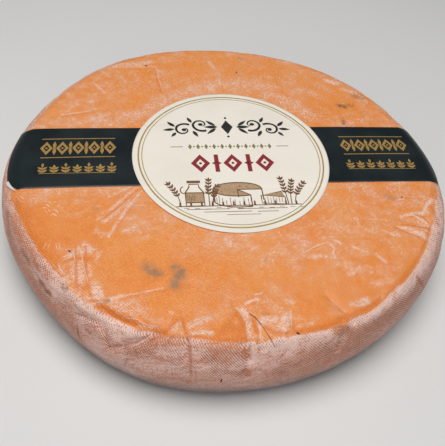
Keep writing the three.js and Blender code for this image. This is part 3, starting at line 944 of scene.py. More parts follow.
def closedWheel(points):
    # joins the fine skin to the coarser underside and to the rings hidden by the label
    rings, columns = reaches.shape
    points = points.reshape(rings, columns, 3)
    footRing, topRing = points[0], points[-1]
    axis = np.array([*wheel["axis"], 0.0])
    middleHeight = wheel["height"] - 0.4           # hidden by the label
    under, inner = [], []
    for share in np.linspace(0, 1, cheeseMesh["underRings"])[1:]:
        ring = axis + (footRing - axis) * share
        ring[:, 2] = np.where(share < 1, 0.0, footRing[:, 2])
        under.append(ring)
    for share in np.linspace(1, 0, cheeseMesh["innerRings"] + 1)[1:-1]:
        ring = axis + (topRing - axis) * share
        ring[:, 2] = topRing[:, 2] * share + middleHeight * (1 - share)
        inner.append(ring)
    layers = under[:-1] + list(points) + inner
    topMiddle = np.array([*wheel["axis"], middleHeight])
    vertices = [axis] + [point for layer in layers for point in layer] + [topMiddle]
    faces = []
    count = len(layers)
    for j in range(columns):
        k = (j + 1) % columns
        faces.append((0, 1 + k, 1 + j))
        for i in range(count - 1):
            low, high = 1 + i * columns, 1 + (i + 1) * columns
            faces.append((low + j, low + k, high + k, high + j))
        last = 1 + (count - 1) * columns
        faces.append((last + j, last + k, len(vertices) - 1))
    return np.array(vertices), faces, len(under) - 1, len(inner)


def spreadField(field, underRings, innerRings, underValue):
    # one value per vertex of the closed wheel; the last ring's values go on under the label
    rings = field.reshape(reaches.shape)
    low = np.full_like(rings[0], underValue)
    parts = [np.array([low.mean()])] + [low] * underRings + list(rings)
    parts += [rings[-1]] * innerRings + [np.array([rings[-1].mean()])]
    return np.concatenate(parts)


# Rind

rindLook = {
    "orange": (0.86, 0.252, 0.034),
    "orangePale": (0.88, 0.305, 0.060),
    "orangeDeep": (0.72, 0.172, 0.010),
    "frostTint": (0.86, 0.42, 0.235),
    "frostPink": (0.88, 0.50, 0.33),
    "frostWhite": (0.91, 0.68, 0.585),
    "sideSkin": (0.52, 0.175, 0.085),
    "sideRust": (0.33, 0.105, 0.055),
    "sidePink": (0.80, 0.43, 0.33),
    "sideWhite": (0.96, 0.665, 0.59),
    # colours of the painted shade in the pits and of the painted glints on the flecks of the finest grain
    "topPitShade": (0.48, 0.13, 0.012),
    "topFleckGlint": (0.97, 0.46, 0.20),
    "sidePitShade": (0.20, 0.10, 0.08),
    # dark colours for the painted shade low on the side
    "bareInLowShade": (0.13, 0.085, 0.080),
    "powderInLowShade": (0.31, 0.255, 0.27),
    "mouldGrey": (0.29, 0.175, 0.10),
    "rust": (0.23, 0.10, 0.035),
    "red": (0.50, 0.135, 0.042),
    "weavePitch": 1.4,                             # millimetres between threads
    "streakLength": 5.5,
    "streakWidth": 0.85,
    # scale, detail and roughness of the noises: fine, grit, grain, patch, drift and broad
    "noises": [(1050.0, 2.0, 0.75), (1300.0, 1.0, 0.5), (420.0, 3.0, 0.6),
               (110.0, 3.0, 0.6), (55.0, 2.0, 0.5), (24.0, 3.0, 0.5)],
}


def rindMaterial(look):
    s = Shader("rind")
    x, y, z = s.add("ShaderNodeSeparateXYZ", {0: s.place}).outputs
    side, bloom, clean = (s.attribute(name) for name in ("side", "bloom", "clean"))

    fine, grit, grain, patch, drift, broad = (s.noise(*settings) for settings in look["noises"])

    # threads of the cloth and streaks along them, around the side and across the top
    around = s.times(s.maths("ARCTAN2", x, s.times(y, -1.0)), wheel["radius"] * mm)
    perMetre = 2 * math.pi / (look["weavePitch"] * mm)
    slant = math.sqrt(0.5)
    waver = s.times(drift, 9.0)

    def threads(u, v, sign):
        turns = s.timesPlus(s.timesPlus(v, sign, u), perMetre * slant, waver)
        return s.timesPlus(s.maths("SINE", turns), 0.5, 0.5)

    def streaks(u, v, sign, seed):
        across = s.times(s.timesPlus(v, sign, u), slant / (look["streakWidth"] * mm))
        along = s.times(s.timesPlus(v, -sign, u), slant / (look["streakLength"] * mm))
        vector = s.add("ShaderNodeCombineXYZ", {0: across, 1: along, 2: seed}).outputs[0]
        return s.noise(1.0, 2.0, 0.6, vector)

    def wrinkles(u, v, degrees, length, width, seed):
        # thin crooked ridges, longer along the given direction
        cosine, sine = math.cos(math.radians(degrees)), math.sin(math.radians(degrees))
        along = s.weighted((u, cosine / (length * mm)), (v, sine / (length * mm)))
        across = s.weighted((u, -sine / (width * mm)), (v, cosine / (width * mm)))
        vector = s.add("ShaderNodeCombineXYZ", {0: along, 1: across, 2: seed}).outputs[0]
        away = s.maths("ABSOLUTE", s.minus(s.noise(1.0, 3.0, 0.55, vector), 0.5))
        return s.mapRange(away, 0.055, 0.0)

    def crawl(u, v, scale, seed):
        # short worm-like ridges, where a noise crosses its middle value
        vector = s.add("ShaderNodeCombineXYZ", {0: u, 1: v, 2: seed}).outputs[0]
        away = s.maths("ABSOLUTE", s.minus(s.noise(scale, 2.0, 0.5, vector), 0.5))
        return s.mapRange(away, 0.085, 0.0)

    sideThreads = s.weighted((threads(around, z, 1.0), 0.64), (threads(around, z, -1.0), 0.36))
    topThreads = s.weighted((threads(x, y, 1.0), 0.8), (threads(x, y, -1.0), 0.2))
    sideStreaks = s.weighted((streaks(around, z, 1.0, 3.0), 0.5), (streaks(around, z, -1.0, 7.0), 0.5))
    topStreaks = s.weighted((streaks(x, y, 1.0, 11.0), 0.6), (streaks(x, y, -1.0, 17.0), 0.4))
    printed = s.mapRange(drift, 0.44, 0.66)        # where the cloth printed clearly
    longWrinkles = wrinkles(x, y, 38.0, 11.0, 4.2, 23.0)
    shortWrinkles = wrinkles(x, y, -20.0, 5.0, 3.4, 31.0)
    sideWrinkles = wrinkles(around, z, 15.0, 14.0, 4.5, 41.0)
    streaksHere = s.blendValue(side, topStreaks, sideStreaks)

    # clean orange skin
    toneAndSheen = s.attribute("toneAndSheen")
    skin = s.mix(s.mapRange(broad, 0.38, 0.66), look["orange"], look["orangePale"])
    skin = s.mix(s.mapRange(toneAndSheen, 0.0, 1.0), skin, look["orangeDeep"])
    # painted sheen: where the attribute is below zero the skin is paler, towards the back of the top
    skin = s.mix(s.mapRange(s.times(toneAndSheen, -1.0), 0.0, 1.0), skin, look["orangePale"])
    skin = s.mix(s.times(s.mapRange(patch, 0.35, 0.62), 0.35), skin, look["orangePale"])
    skin = s.mix(s.times(s.mapRange(topStreaks, 0.5, 0.36), 0.30), skin, look["orangeDeep"])
    skin = s.mix(s.times(s.mapRange(fine, 0.52, 0.36), 0.22), skin, look["orangeDeep"])
    weaveShow = s.times(s.mapRange(topThreads, 0.45, 0.95), s.blendValue(printed, 0.05, 0.30))
    skin = s.mix(weaveShow, skin, look["frostPink"])

    # frost on the top: grains, streaks and crooked ridges that close up as its amount rises
    frost = s.timesPlus(s.minus(drift, 0.5), 0.8, 0.47)
    frost = s.times(frost, s.minus(1.0, s.times(clean, 0.85)))
    frost = s.larger(frost, bloom)
    frost = s.timesPlus(s.minus(patch, 0.5), 0.45, frost)
    frost = s.larger(frost, 0.0)
    ridges = s.larger(longWrinkles, s.times(shortWrinkles, 0.8))
    worms = s.larger(crawl(x, y, 330.0, 0.3), s.times(crawl(x, y, 520.0, 0.7), 0.8))
    speckle = s.weighted((topStreaks, 0.21), (grain, 0.12), (topThreads, 0.08),
                         (fine, 0.36), (ridges, 0.07), (worms, 0.16))
    gate = s.minus(0.665, s.times(frost, 0.23))
    covered = s.mapRange(speckle, s.minus(gate, 0.03), s.plus(gate, 0.05))
    covered = s.times(covered, s.mapRange(frost, 0.0, 0.75, 0.40, 1.0))
    whiteness = s.mapRange(s.plus(frost, speckle), 0.92, 1.38)
    frostColour = s.mix(whiteness, look["frostPink"], look["frostWhite"])
    top = s.mix(s.times(s.mapRange(frost, 0.15, 0.95), 0.50), skin, look["frostTint"])
    top = s.mix(s.times(covered, 0.84), top, frostColour)

    def cutLine(name, jitter, low, high):
        stray = s.minus(s.weighted((streaksHere, 0.6), (grain, 0.4)), 0.5)
        return s.mapRange(s.timesPlus(stray, jitter, s.attribute(name)), low, high)

    white = cutLine("white", 1.3, 0.58, 0.95)
    deep = cutLine("deep", 0.8, 0.45, 1.0)
    red = cutLine("red", 0.9, 0.48, 1.0)
    top = s.mix(s.times(white, 0.65), top, look["frostWhite"])
    top = s.mix(s.times(deep, 0.75), top, look["orangeDeep"])

    # the pale side: powder over reddish skin
    powderAndShadeAmount = s.plus(s.attribute("powderAndShade"), s.times(s.minus(broad, 0.5), 0.35))
    powderAndShadeAmount = s.timesPlus(s.minus(patch, 0.5), 0.5, powderAndShadeAmount)
    powderAndShadeAmount = s.timesPlus(sideWrinkles, -0.18, powderAndShadeAmount)
    powderAndShadeAmount = s.maths("MINIMUM", powderAndShadeAmount, 0.86)
    rim = s.attribute("rim")
    rimPrinted = s.times(rim, s.mapRange(patch, 0.38, 0.6))
    sideWeave = s.blendValue(s.larger(s.blendValue(printed, 0.35, 1.0), rimPrinted), 0.5, sideThreads)
    sideSpeckle = s.weighted((sideWeave, 0.36), (sideStreaks, 0.16), (grain, 0.10), (fine, 0.38))
    sideGate = s.minus(0.67, s.times(powderAndShadeAmount, 0.33))
    sideCover = s.mapRange(sideSpeckle, s.minus(sideGate, 0.048), s.plus(sideGate, 0.056))
    # painted shade: the side's bare skin and powder are darkened towards the bottom
    lowShade = s.mapRange(z, 36 * mm, 6 * mm)
    bare = s.mix(s.mapRange(patch, 0.42, 0.66), look["sideSkin"], look["sideRust"])
    bare = s.mix(s.times(rim, 0.35), bare, look["orange"])
    bare = s.mix(s.times(lowShade, 0.85), bare, look["bareInLowShade"])
    powderAndShade = s.mix(s.mapRange(powderAndShadeAmount, 0.45, 1.0), look["sidePink"], look["sideWhite"])
    # whiter powder along the edge: partly the powder's own warm white, partly painted light against the
    # shade on the grazed shoulder
    powderAndShade = s.mix(s.times(rim, 0.4), powderAndShade, look["frostWhite"])
    powderAndShade = s.mix(s.times(lowShade, 0.92), powderAndShade, look["powderInLowShade"])
    pale = s.mix(s.timesPlus(sideCover, 0.86, 0.08), bare, powderAndShade)
    pale = s.mix(s.times(white, 0.6), pale, look["sideWhite"])
    pale = s.mix(s.times(s.larger(red, deep), 0.74), pale, look["red"])

    ragged = s.weighted((sideThreads, 0.14), (grain, 1.0), (fine, 0.86))
    edge = s.mapRange(s.plus(side, s.times(s.minus(ragged, 1.0), 0.9)), 0.36, 0.64)
    colour = s.mix(edge, top, pale)
    # the finest grain: dark pits of painted shade between the threads, and light flecks of painted glints
    gritty = s.weighted((grit, 0.75), (s.blendValue(side, topThreads, sideThreads), 0.15))
    pitShade = s.times(s.mapRange(gritty, 0.46, 0.28), 0.34)
    colour = s.mix(pitShade, colour, s.mix(side, look["topPitShade"], look["sidePitShade"]))
    fleckGlints = s.times(s.mapRange(gritty, 0.46, 0.62), s.blendValue(side, 0.40, 0.36))
    colour = s.mix(fleckGlints, colour, s.mix(side, look["topFleckGlint"], look["frostWhite"]))

    def blot(name, low, high):
        mottle = s.weighted((grain, 1.2), (patch, 0.8))
        return s.mapRange(s.times(s.attribute(name), s.minus(mottle, 0.25)), low, high)

    colour = s.mix(s.times(blot("mould", 0.10, 0.85), 0.85), colour, look["mouldGrey"])
    colour = s.mix(s.times(blot("rust", 0.15, 0.75), 0.85), colour, look["rust"])

    dusty = s.plus(s.times(covered, s.minus(1.0, side)), s.times(sideCover, side))
    roughness = s.mapRange(dusty, 0.0, 1.0, 0.50, 0.85)
    weaveHeight = s.blendValue(side, s.times(topThreads, 0.45), s.times(sideWeave, 1.15))
    ridgesHere = s.blendValue(side, ridges, s.times(sideWrinkles, -0.8))
    roughHeight = s.weighted((grain, 0.6), (fine, 0.8), (streaksHere, 0.4), (dusty, 0.5), (ridgesHere, 0.6))
    height = s.plus(weaveHeight, roughHeight)
    normal = s.bump(height, 0.64, 0.36 * mm)
    return s.finish(colour, roughness, normal, **{"Specular IOR Level": 0.4})


vertices, faces, underCount, innerCount = closedWheel(surfacePoints)
cheese = meshPiece("rind_wheel", vertices, faces, rindMaterial(rindLook))

toneMarks = [
    # where the clean skin is a deeper orange
    ([(22, 205), (38, 240), (66, 268)], 13, 0.55),
    ([(60, 235), (120, 262), (200, 292), (300, 300)], 24, 0.3),
    ([(330, 318), (385, 290), (415, 255)], 14, 0.3),
    ([(226, 336), (236, 322), (241, 337)], 8, 0.7),
]
# painted sheen: the top made paler towards the back
paintedBackSheen = -0.5 * smooth(10, 90, skinPoints[:, 1])
toneAndSheenField = paintField(toneMarks) + paintedBackSheen
# less powder where the skin shows through, and painted shade where the low rows darken the side
sidePowderAndShade = 0.72 - 0.08 * smooth(8, 40, pastEdge) + palerAndShadeField * 0.6
fields = {
    "bloom": (bloomField, 0.0), "clean": (cleanField, 0.0), "white": (whiteField, 0.0),
    "deep": (deepField, 0.0), "red": (redField, 0.0), "mould": (mouldField, 0.0), "rust": (brownField, 0.0),
    "side": (sideField, 1.0), "rim": (rimField, 0.0), "toneAndSheen": (toneAndSheenField, 0.0), "powderAndShade": (sidePowderAndShade, 0.5),
}
for name, (field, underValue) in fields.items():
    values = spreadField(field, underCount, innerCount, underValue)
    layer = cheese.data.attributes.new(name, "FLOAT", "POINT")
    layer.data.foreach_set("value", values.astype(np.float32))
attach(cheese, "root")
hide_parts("cheese")
print("wheel made:", len(vertices), "points")


# Paper sheets

def azimuthAtY(y, reach, side):
    azimuth = np.full(np.broadcast(y, reach).shape, 0.0 if side > 0 else math.pi)
    for turn in range(12):                         # repeated, because the radius depends on the azimuth
        radius = outlineRadius(azimuth) - profileAt(azimuth, reach)[0]
        azimuth = np.arcsin(y / radius) if side > 0 else math.pi - np.arcsin(y / radius)
    return azimuth


def bandLines():
    # skin points and normals under the band, one row for each line along it
    points, normals = [], []
    for i in range(band["rows"]):
        share = i / (band["rows"] - 1)
        y = band["middle"] + band["halfWidth"] * (2 * share - 1)
        pieces, pieceNormals = [], []
        for side, ends in ((-1, band["ends"]["left"]), (1, band["ends"]["right"])):
            end = np.interp(share, band["endShares"], ends)
            flatEdge = azimuthAtY(np.array([y]), np.array([band["bendReach"]]), side)
            start = (outlineRadius(flatEdge) - edgeInset(flatEdge))[0] - math.hypot(band["flatHalf"], y)
            steps = 1 - (1 - np.linspace(0, 1, band["bendStations"])) ** 1.5
            reach = start + (end - start) * steps
            azimuth = azimuthAtY(np.full_like(reach, y), reach, side)
            line, lineNormals = plainPoint(azimuth, reach), skinNormal(azimuth, reach)
            pieces.append(line[::-1] if side < 0 else line)
            pieceNormals.append(lineNormals[::-1] if side < 0 else lineNormals)
        x = np.linspace(-band["flatHalf"], band["flatHalf"], band["flatStations"])[1:-1]
        height = wheel["height"] - wheel["topDroop"] * droopAt(np.hypot(x, y)) ** 2
        flat = np.stack([x + wheel["axis"][0], np.full_like(x, y + wheel["axis"][1]), height], 1)
        points.append(np.concatenate([pieces[0], flat, pieces[1]]))
        upward = np.tile([0.0, 0.0, 1.0], (len(x), 1))
        normals.append(np.concatenate([pieceNormals[0], upward, pieceNormals[1]]))
    return np.array(points), np.array(normals)


def closedSheet(name, under, over, printed, plain):
    # the printed side on top, the plain paper below and on the cut edges
    rows, columns = under.shape[:2]
    vertices = np.concatenate([under.reshape(-1, 3), over.reshape(-1, 3)])
    index = np.arange(rows * columns).reshape(rows, columns)
    upper = index + rows * columns
    faces, kinds = [], []

    def quad(a, b, c, d, kind=1):
        faces.append((a, b, c, d))
        kinds.append(kind)

    for i in range(rows - 1):
        for j in range(columns - 1):
            quad(upper[i, j], upper[i, j + 1], upper[i + 1, j + 1], upper[i + 1, j], 0)
            quad(index[i, j], index[i + 1, j], index[i + 1, j + 1], index[i, j + 1])
        quad(index[i, 0], upper[i, 0], upper[i + 1, 0], index[i + 1, 0])
        quad(index[i, -1], index[i + 1, -1], upper[i + 1, -1], upper[i, -1])
    for j in range(columns - 1):
        quad(index[0, j], index[0, j + 1], upper[0, j + 1], upper[0, j])
        quad(index[-1, j], upper[-1, j], upper[-1, j + 1], index[-1, j + 1])
    piece = meshPiece(name, vertices, faces, [printed, plain])
    piece.data.polygons.foreach_set("material_index", np.array(kinds, np.int32))
    return piece


paperLook = {
    "bandDark": (0.0065, 0.0115, 0.0125),
    "bandLight": (0.011, 0.018, 0.019),
    "bandFibre": (0.05, 0.065, 0.066),
    # light and dark clouds of the pale papers
    "back": ((0.80, 0.78, 0.74), (0.70, 0.68, 0.64)),
    "label": ((0.86, 0.80, 0.70), (0.82, 0.755, 0.65)),
}


def bandMaterial():
    s = Shader("bandPaper")
    cloud = s.noise(35.0, 3.0, 0.5)
    fibre = s.noise(700.0, 3.0, 0.6, s.stretched(1.0, 4.0))
    colour = s.mix(s.mapRange(cloud, 0.3, 0.7), paperLook["bandDark"], paperLook["bandLight"])
    colour = s.mix(s.times(s.mapRange(fibre, 0.62, 0.8), 0.35), colour, paperLook["bandFibre"])
    roughness = s.mapRange(cloud, 0.3, 0.7, 0.34, 0.46)
    height = s.plus(s.times(cloud, 3.0), s.times(fibre, 0.25))
    return s.finish(colour, roughness, s.bump(height, 0.25, 0.3 * mm), **{"Specular IOR Level": 0.34})


def paperMaterial(name, light, dark):
    s = Shader(name)
    cloud = s.noise(22.0, 3.0, 0.5)
    fibre = s.noise(260.0, 4.0, 0.65, s.stretched(1.0, 6.0))
    tooth = s.noise(1500.0, 2.0, 0.6)
    colour = s.mix(s.mapRange(cloud, 0.3, 0.72), light, dark)
    colour = s.mix(s.times(s.mapRange(fibre, 0.5, 0.8), 0.28), colour, dark)
    roughness = s.mapRange(fibre, 0.3, 0.8, 0.5, 0.68)
    # faint creases along the band's direction, where a long noise crosses its middle value
    longNoise = s.noise(130.0, 1.0, 0.4, s.stretched(0.12, 1.0))
    creased = s.mapRange(s.maths("ABSOLUTE", s.minus(longNoise, 0.5)), 0.035, 0.0)
    height = s.plus(s.times(fibre, 0.6), s.times(tooth, 0.25))
    height = s.plus(height, s.times(cloud, 2.0))
    height = s.minus(height, s.times(creased, 0.5))
    return s.finish(colour, roughness, s.bump(height, 0.22, 0.25 * mm), **{"Specular IOR Level": 0.3})


def bandRiseAt(x, y):
    # gentle waves of the paper
    return band["wave"] * (1 + np.sin(x / 17.0) * np.sin(y / 9.0))


skinUnder, normalUnder = bandLines()
bandRise = bandRiseAt(skinUnder[..., 0], skinUnder[..., 1])
bandUnder = skinUnder + normalUnder * (band["lift"] + bandRise)[..., None]
bandOver = skinUnder + normalUnder * (band["lift"] + band["thickness"] + bandRise)[..., None]
bandPaper = bandMaterial()
whitePaper = paperMaterial("paperBack", *paperLook["back"])
bandPiece = closedSheet("paper_band_sheet", bandUnder, bandOver, bandPaper, whitePaper)
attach(bandPiece, "root")
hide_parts("paper_band")

foldedCorner = {
    "pixels": [(6.8, 183.4), (9.0, 181.6), (11.4, 185.6), (16.4, 192.2), (12.0, 189.6), (8.6, 186.6)],
    "lift": 0.55,
    "thickness": 0.25,
}


def addFoldedCorner():
    # the paper's pale back, folded up at the front left corner
    picks = skinAtPixels(foldedCorner["pixels"])
    azimuth, reach = azimuthOf(picks), reachOf(picks)
    normals = skinNormal(azimuth, reach)
    low = picks + normals * foldedCorner["lift"]
    high = low + normals * foldedCorner["thickness"]
    count = len(picks)
    faces = [tuple(range(count)), tuple(range(2 * count - 1, count - 1, -1))]
    faces += [(i, i + count, (i + 1) % count + count, (i + 1) % count) for i in range(count)]
    corner = meshPiece("band_corner", np.concatenate([low, high]), faces, whitePaper, False)
    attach(corner, "root")


addFoldedCorner()
print("band made")


def labelLift(x, y):
    # height of the label's underside above the flat top
    past = np.abs(y - wheel["axis"][1] - band["middle"]) - band["halfWidth"]
    overBand = 1 - smooth(0.1, label["ramp"], past)
    ripple = label["ripple"] * np.sin(x / 11.0 + 1.0) * np.sin(y / 7.0) + 0.06
    return label["lift"] + (band["lift"] + 2 * band["wave"] + band["thickness"]) * overBand + ripple


def labelPoint(radius, angle):
    x = label["middle"][0] + wheel["axis"][0] + radius * np.cos(angle)
    y = label["middle"][1] + wheel["axis"][1] + radius * np.sin(angle)
    degrees, spread, start, height = label["raised"]
    raised = height * smooth(start, label["radius"], radius)
    raised = raised * np.exp(-(turnBetween(angle, degrees) / spread) ** 2)
    return np.stack([x, y, wheel["height"] + labelLift(x, y) + raised], -1)


labelRadii = label["radius"] * np.linspace(0.02, 1, label["rings"])
labelAngles = np.linspace(0, 2 * math.pi, label["sectors"], endpoint=False)
radiusGrid, angleGrid = np.meshgrid(labelRadii, labelAngles, indexing="ij")


def labelPiece(material):
    under = labelPoint(radiusGrid, angleGrid)
    over = under + np.array([0, 0, label["thickness"]])
    rings, sectors = radiusGrid.shape
    vertices = np.concatenate([under.reshape(-1, 3), over.reshape(-1, 3)])
    low = np.arange(rings * sectors).reshape(rings, sectors)
    high = low + rings * sectors
    faces = []
    for j in range(sectors):
        k = (j + 1) % sectors
        for i in range(rings - 1):
            faces.append((high[i, j], high[i + 1, j], high[i + 1, k], high[i, k]))
            faces.append((low[i, j], low[i, k], low[i + 1, k], low[i + 1, j]))
        faces.append((low[-1, j], low[-1, k], high[-1, k], high[-1, j]))
    faces.append(tuple(high[0]))
    faces.append(tuple(low[0][::-1]))
    return meshPiece("paper_label_disc", vertices, faces, material)


labelDisc = labelPiece(paperMaterial("labelPaper", *paperLook["label"]))
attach(labelDisc, "root")
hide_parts("paper_label")
print("label made")


# Printed ornament: flat shapes drawn in millimetres, then laid on the paper

inks = {
    "lift": 0.04,
    "cellWidth": 4.0,                              # longest stretch of a shape before it follows the paper
    "cellDepth": 2.0,
    "tintGap": 0.02,                               # between the drawing's tint and its lines
    "gold": {"colour": (0.50, 0.30, 0.085), "metallic": 0.25, "roughness": 0.42},
    "ringGold": {"colour": (0.50, 0.34, 0.095), "metallic": 0.2, "roughness": 0.42},
    "charcoal": {"colour": (0.020, 0.018, 0.018), "metallic": 0.0, "roughness": 0.5},
    "olive": {"colour": (0.26, 0.22, 0.10), "metallic": 0.0, "roughness": 0.5},
    "crimson": {"colour": (0.30, 0.017, 0.028), "metallic": 0.0, "roughness": 0.5},
    "sepia": {"colour": (0.20, 0.085, 0.030), "metallic": 0.0, "roughness": 0.55},
    "sepiaLight": {"colour": (0.50, 0.33, 0.18), "metallic": 0.0, "roughness": 0.55},
}


def bar(left, low, right, high):
    return [(left, low), (right, low), (right, high), (left, high)]


def lozenge(x, y, width, height):
    return [(x - width / 2, y), (x, y - height / 2), (x + width / 2, y), (x, y + height / 2)]


def disc(x, y, radius, squash=1.0, count=20):
    turns = np.linspace(0, 2 * math.pi, count, endpoint=False)
    return [(x + radius * math.cos(a), y + radius * squash * math.sin(a)) for a in turns]


def leaf(x, y, degrees, length, width, count=9):
    # a pointed leaf that starts at x, y
    turn = math.radians(degrees)
    shares = np.linspace(0, 1, count)
    half = width / 2 * np.sin(math.pi * shares ** 0.8)
    side = [(length * s, h) for s, h in zip(shares, half)]
    side += [(length * s, -h) for s, h in zip(shares[::-1][1:-1], half[::-1][1:-1])]
    cosine, sine = math.cos(turn), math.sin(turn)
    return [(x + u * cosine - v * sine, y + u * sine + v * cosine) for u, v in side]


def stroke(path, width, endWidth=None, closed=False):
    # quads along a path, swelling from width at its start to endWidth at its end
    path = np.asarray(path, float)
    count = len(path)
    endWidth = width if endWidth is None else endWidth
    after, before = np.roll(path, -1, 0), np.roll(path, 1, 0)
    if not closed:
        after[-1], before[0] = path[-1], path[0]
    along = after - before
    along /= np.maximum(1e-9, np.linalg.norm(along, axis=1))[:, None]
    across = np.stack([-along[:, 1], along[:, 0]], 1)
    half = (width + (endWidth - width) * np.linspace(0, 1, count))[:, None] / 2
    left, right = path + across * half, path - across * half
    last = count if closed else count - 1
    return [[tuple(right[i]), tuple(right[(i + 1) % count]), tuple(left[(i + 1) % count]), tuple(left[i])]
            for i in range(last)]


def arcPath(x, y, radiusX, radiusY, fromDegrees, toDegrees, count=24):
    turns = np.radians(np.linspace(fromDegrees, toDegrees, count))
    return np.stack([x + radiusX * np.cos(turns), y + radiusY * np.sin(turns)], 1)


def curl(x, y, fromRadius, toRadius, fromDegrees, toDegrees, count=40):
    # a spiral about x, y
    turns = np.radians(np.linspace(fromDegrees, toDegrees, count))
    radii = np.linspace(fromRadius, toRadius, count)
    return np.stack([x + radii * np.cos(turns), y + radii * np.sin(turns)], 1)


def mirrored(shapes):
    return shapes + [[(-x, y) for x, y in shape][::-1] for shape in shapes]


def shifted(shapes, dx, dy):
    return [[(x + dx, y + dy) for x, y in shape] for shape in shapes]


def inkMaterial(name, look):
    s = Shader(name)
    worn = s.noise(900.0, 3.0, 0.6)
    darker = tuple(channel * 0.72 for channel in look["colour"])
    colour = s.mix(s.mapRange(worn, 0.35, 0.68), darker, look["colour"])
    roughness = s.mapRange(worn, 0.3, 0.7, look["roughness"], look["roughness"] + 0.12)
    return s.finish(colour, roughness, s.bump(worn, 0.1, 0.1 * mm), Metallic=look["metallic"])


def inkPiece(name, ink, shapes, surfaceAt):
    # shapes become a thin sheet cut into cells, so that it follows the paper under it
    build = bmesh.new()
    for shape in shapes:
        build.faces.new([build.verts.new((x, y, 0)) for x, y in shape])
    flat = np.array([v.co[:2] for v in build.verts])
    for axis, cell in ((0, inks["cellWidth"]), (1, inks["cellDepth"])):
        normal = (1, 0, 0) if axis == 0 else (0, 1, 0)
        first, last = math.ceil(flat[:, axis].min() / cell), math.floor(flat[:, axis].max() / cell)
        for step in range(first, last + 1):
            origin = tuple(step * cell * n for n in normal)
            bmesh.ops.bisect_plane(build, geom=build.verts[:] + build.edges[:] + build.faces[:],
                                   plane_co=origin, plane_no=normal)
    bmesh.ops.triangulate(build, faces=build.faces[:])
    for face in build.faces:
        if face.normal.z < 0:
            face.normal_flip()
    corners = np.array([v.co[:2] for v in build.verts])
    places = surfaceAt(corners[:, 0], corners[:, 1])
    places[:, 2] += inks["lift"]
    for vertex, spot in zip(build.verts, places):
        vertex.co = Vector(spot) * mm
    piece = builtPiece(name, build, inkMaterial(name, inks[ink]))
    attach(piece, "root")


def onLabel(x, y):
    radius, angle = np.hypot(x, y), np.arctan2(y, x)
    return labelPoint(radius, angle) + np.array([0, 0, label["thickness"]])


def onBand(x, y):
    # x from the wheel's axis, y from the band's middle line
    across = y + band["middle"]
    height = wheel["height"] - wheel["topDroop"] * droopAt(np.hypot(x, across)) ** 2
    frameX, frameY = x + wheel["axis"][0], across + wheel["axis"][1]
    rise = bandRiseAt(frameX, frameY)
    return np.stack([frameX, frameY, height + band["lift"] + band["thickness"] + rise], -1)


def overTint(x, y):
    return onLabel(x, y) + np.array([0, 0, inks["tintGap"]])


labelPrint = {
    "outerRing": (70.4, 1.15),                     # radius and width
    "innerRing": (67.8, 0.6),
    "scrollTop": 33.0,                             # heights of the rows from the label's middle
    "ruleRow": 10.5,
    "crimsonRow": -7.6,
    "vignetteGround": -49.5,
}


def ringShapes(radius, width):
    return stroke(arcPath(0, 0, radius, radius, 0, 360 - 360 / 260, 260), width, closed=True)


def scrollShapes():
    # a symmetrical flourish of curls and leaves about a lozenge
    y = labelPrint["scrollTop"]
    half = [leaf(7.5, y, 0, 11, 3.6), leaf(9, y + 1.6, 42, 10, 3.0), leaf(9, y - 1.6, -42, 10, 3.0)]
    half += stroke(curl(20.5, y + 3.2, 8.2, 2.2, -118, 238), 2.4, 0.9)
    half += [disc(20.8, y + 3.4, 1.9)]
    half += stroke(curl(34.5, y - 3.0, 7.8, 2.2, 128, -225), 2.4, 0.9)
    half += [disc(34.3, y - 3.2, 1.8)]
    half += [leaf(27.4, y - 4.5, -118, 8, 3.0), leaf(27.6, y + 5.8, 62, 7.5, 2.8)]
    half += [leaf(41.2, y + 0.6, 48, 9, 3.2), leaf(41.6, y - 2.4, -6, 9.5, 3.0)]
    half += [leaf(40.6, y - 6.2, -52, 6.5, 2.6)]
    return mirrored(half) + [lozenge(0, y, 9.5, 17)] + [disc(0, y + 11.2, 1.1), disc(0, y - 11.2, 1.1)]


def ruleShapes():
    y = labelPrint["ruleRow"]
    half = [bar(36.5, y - 0.35, 46, y + 0.35)]
    half += [lozenge(6.2 * i, y, 3.0, 6.0) for i in range(1, 6)]
    half += [disc(6.2 * i + 3.1, y, 0.75) for i in range(0, 5)]
    return mirrored(half) + [lozenge(0, y, 3.0, 6.0)]


def crimsonShapes():
    y = labelPrint["crimsonRow"]
    shapes = []
    for x in (-24.5, 0.0, 24.5):
        outer, inner = lozenge(x, y, 14.5, 19), lozenge(x, y, 6.5, 9)
        for i in range(4):
            k = (i + 1) % 4
            shapes.append([outer[i], outer[k], inner[k], inner[i]])
        shapes.append(disc(x, y, 1.2))
    half = [bar(10.6, y - 9.2, 13.9, y + 9.2), lozenge(12.25, y, 7.5, 5.2)]
    return shapes + mirrored(half)


def wheatShapes(x, y, lean, height):
    # an ear of wheat: a bent stalk with paired grains
    shares = np.linspace(0, 1, 16)
    stalk = np.stack([x + lean * shares ** 2, y + height * shares], 1)
    shapes = stroke(stalk, 0.8, 0.5)
    for i in range(7, 16, 2):
        px, py = stalk[i]
        tilt = 90 - math.degrees(math.atan2(2 * lean * shares[i], height))
        shapes += [leaf(px, py, tilt + 40, 3.9, 1.7, 7), leaf(px, py, tilt - 40, 3.9, 1.7, 7)]
    tipTilt = 90 - math.degrees(math.atan2(2 * lean, height))
    return shapes + [leaf(*stalk[-1], tipTilt, 4.4, 1.6, 7)]


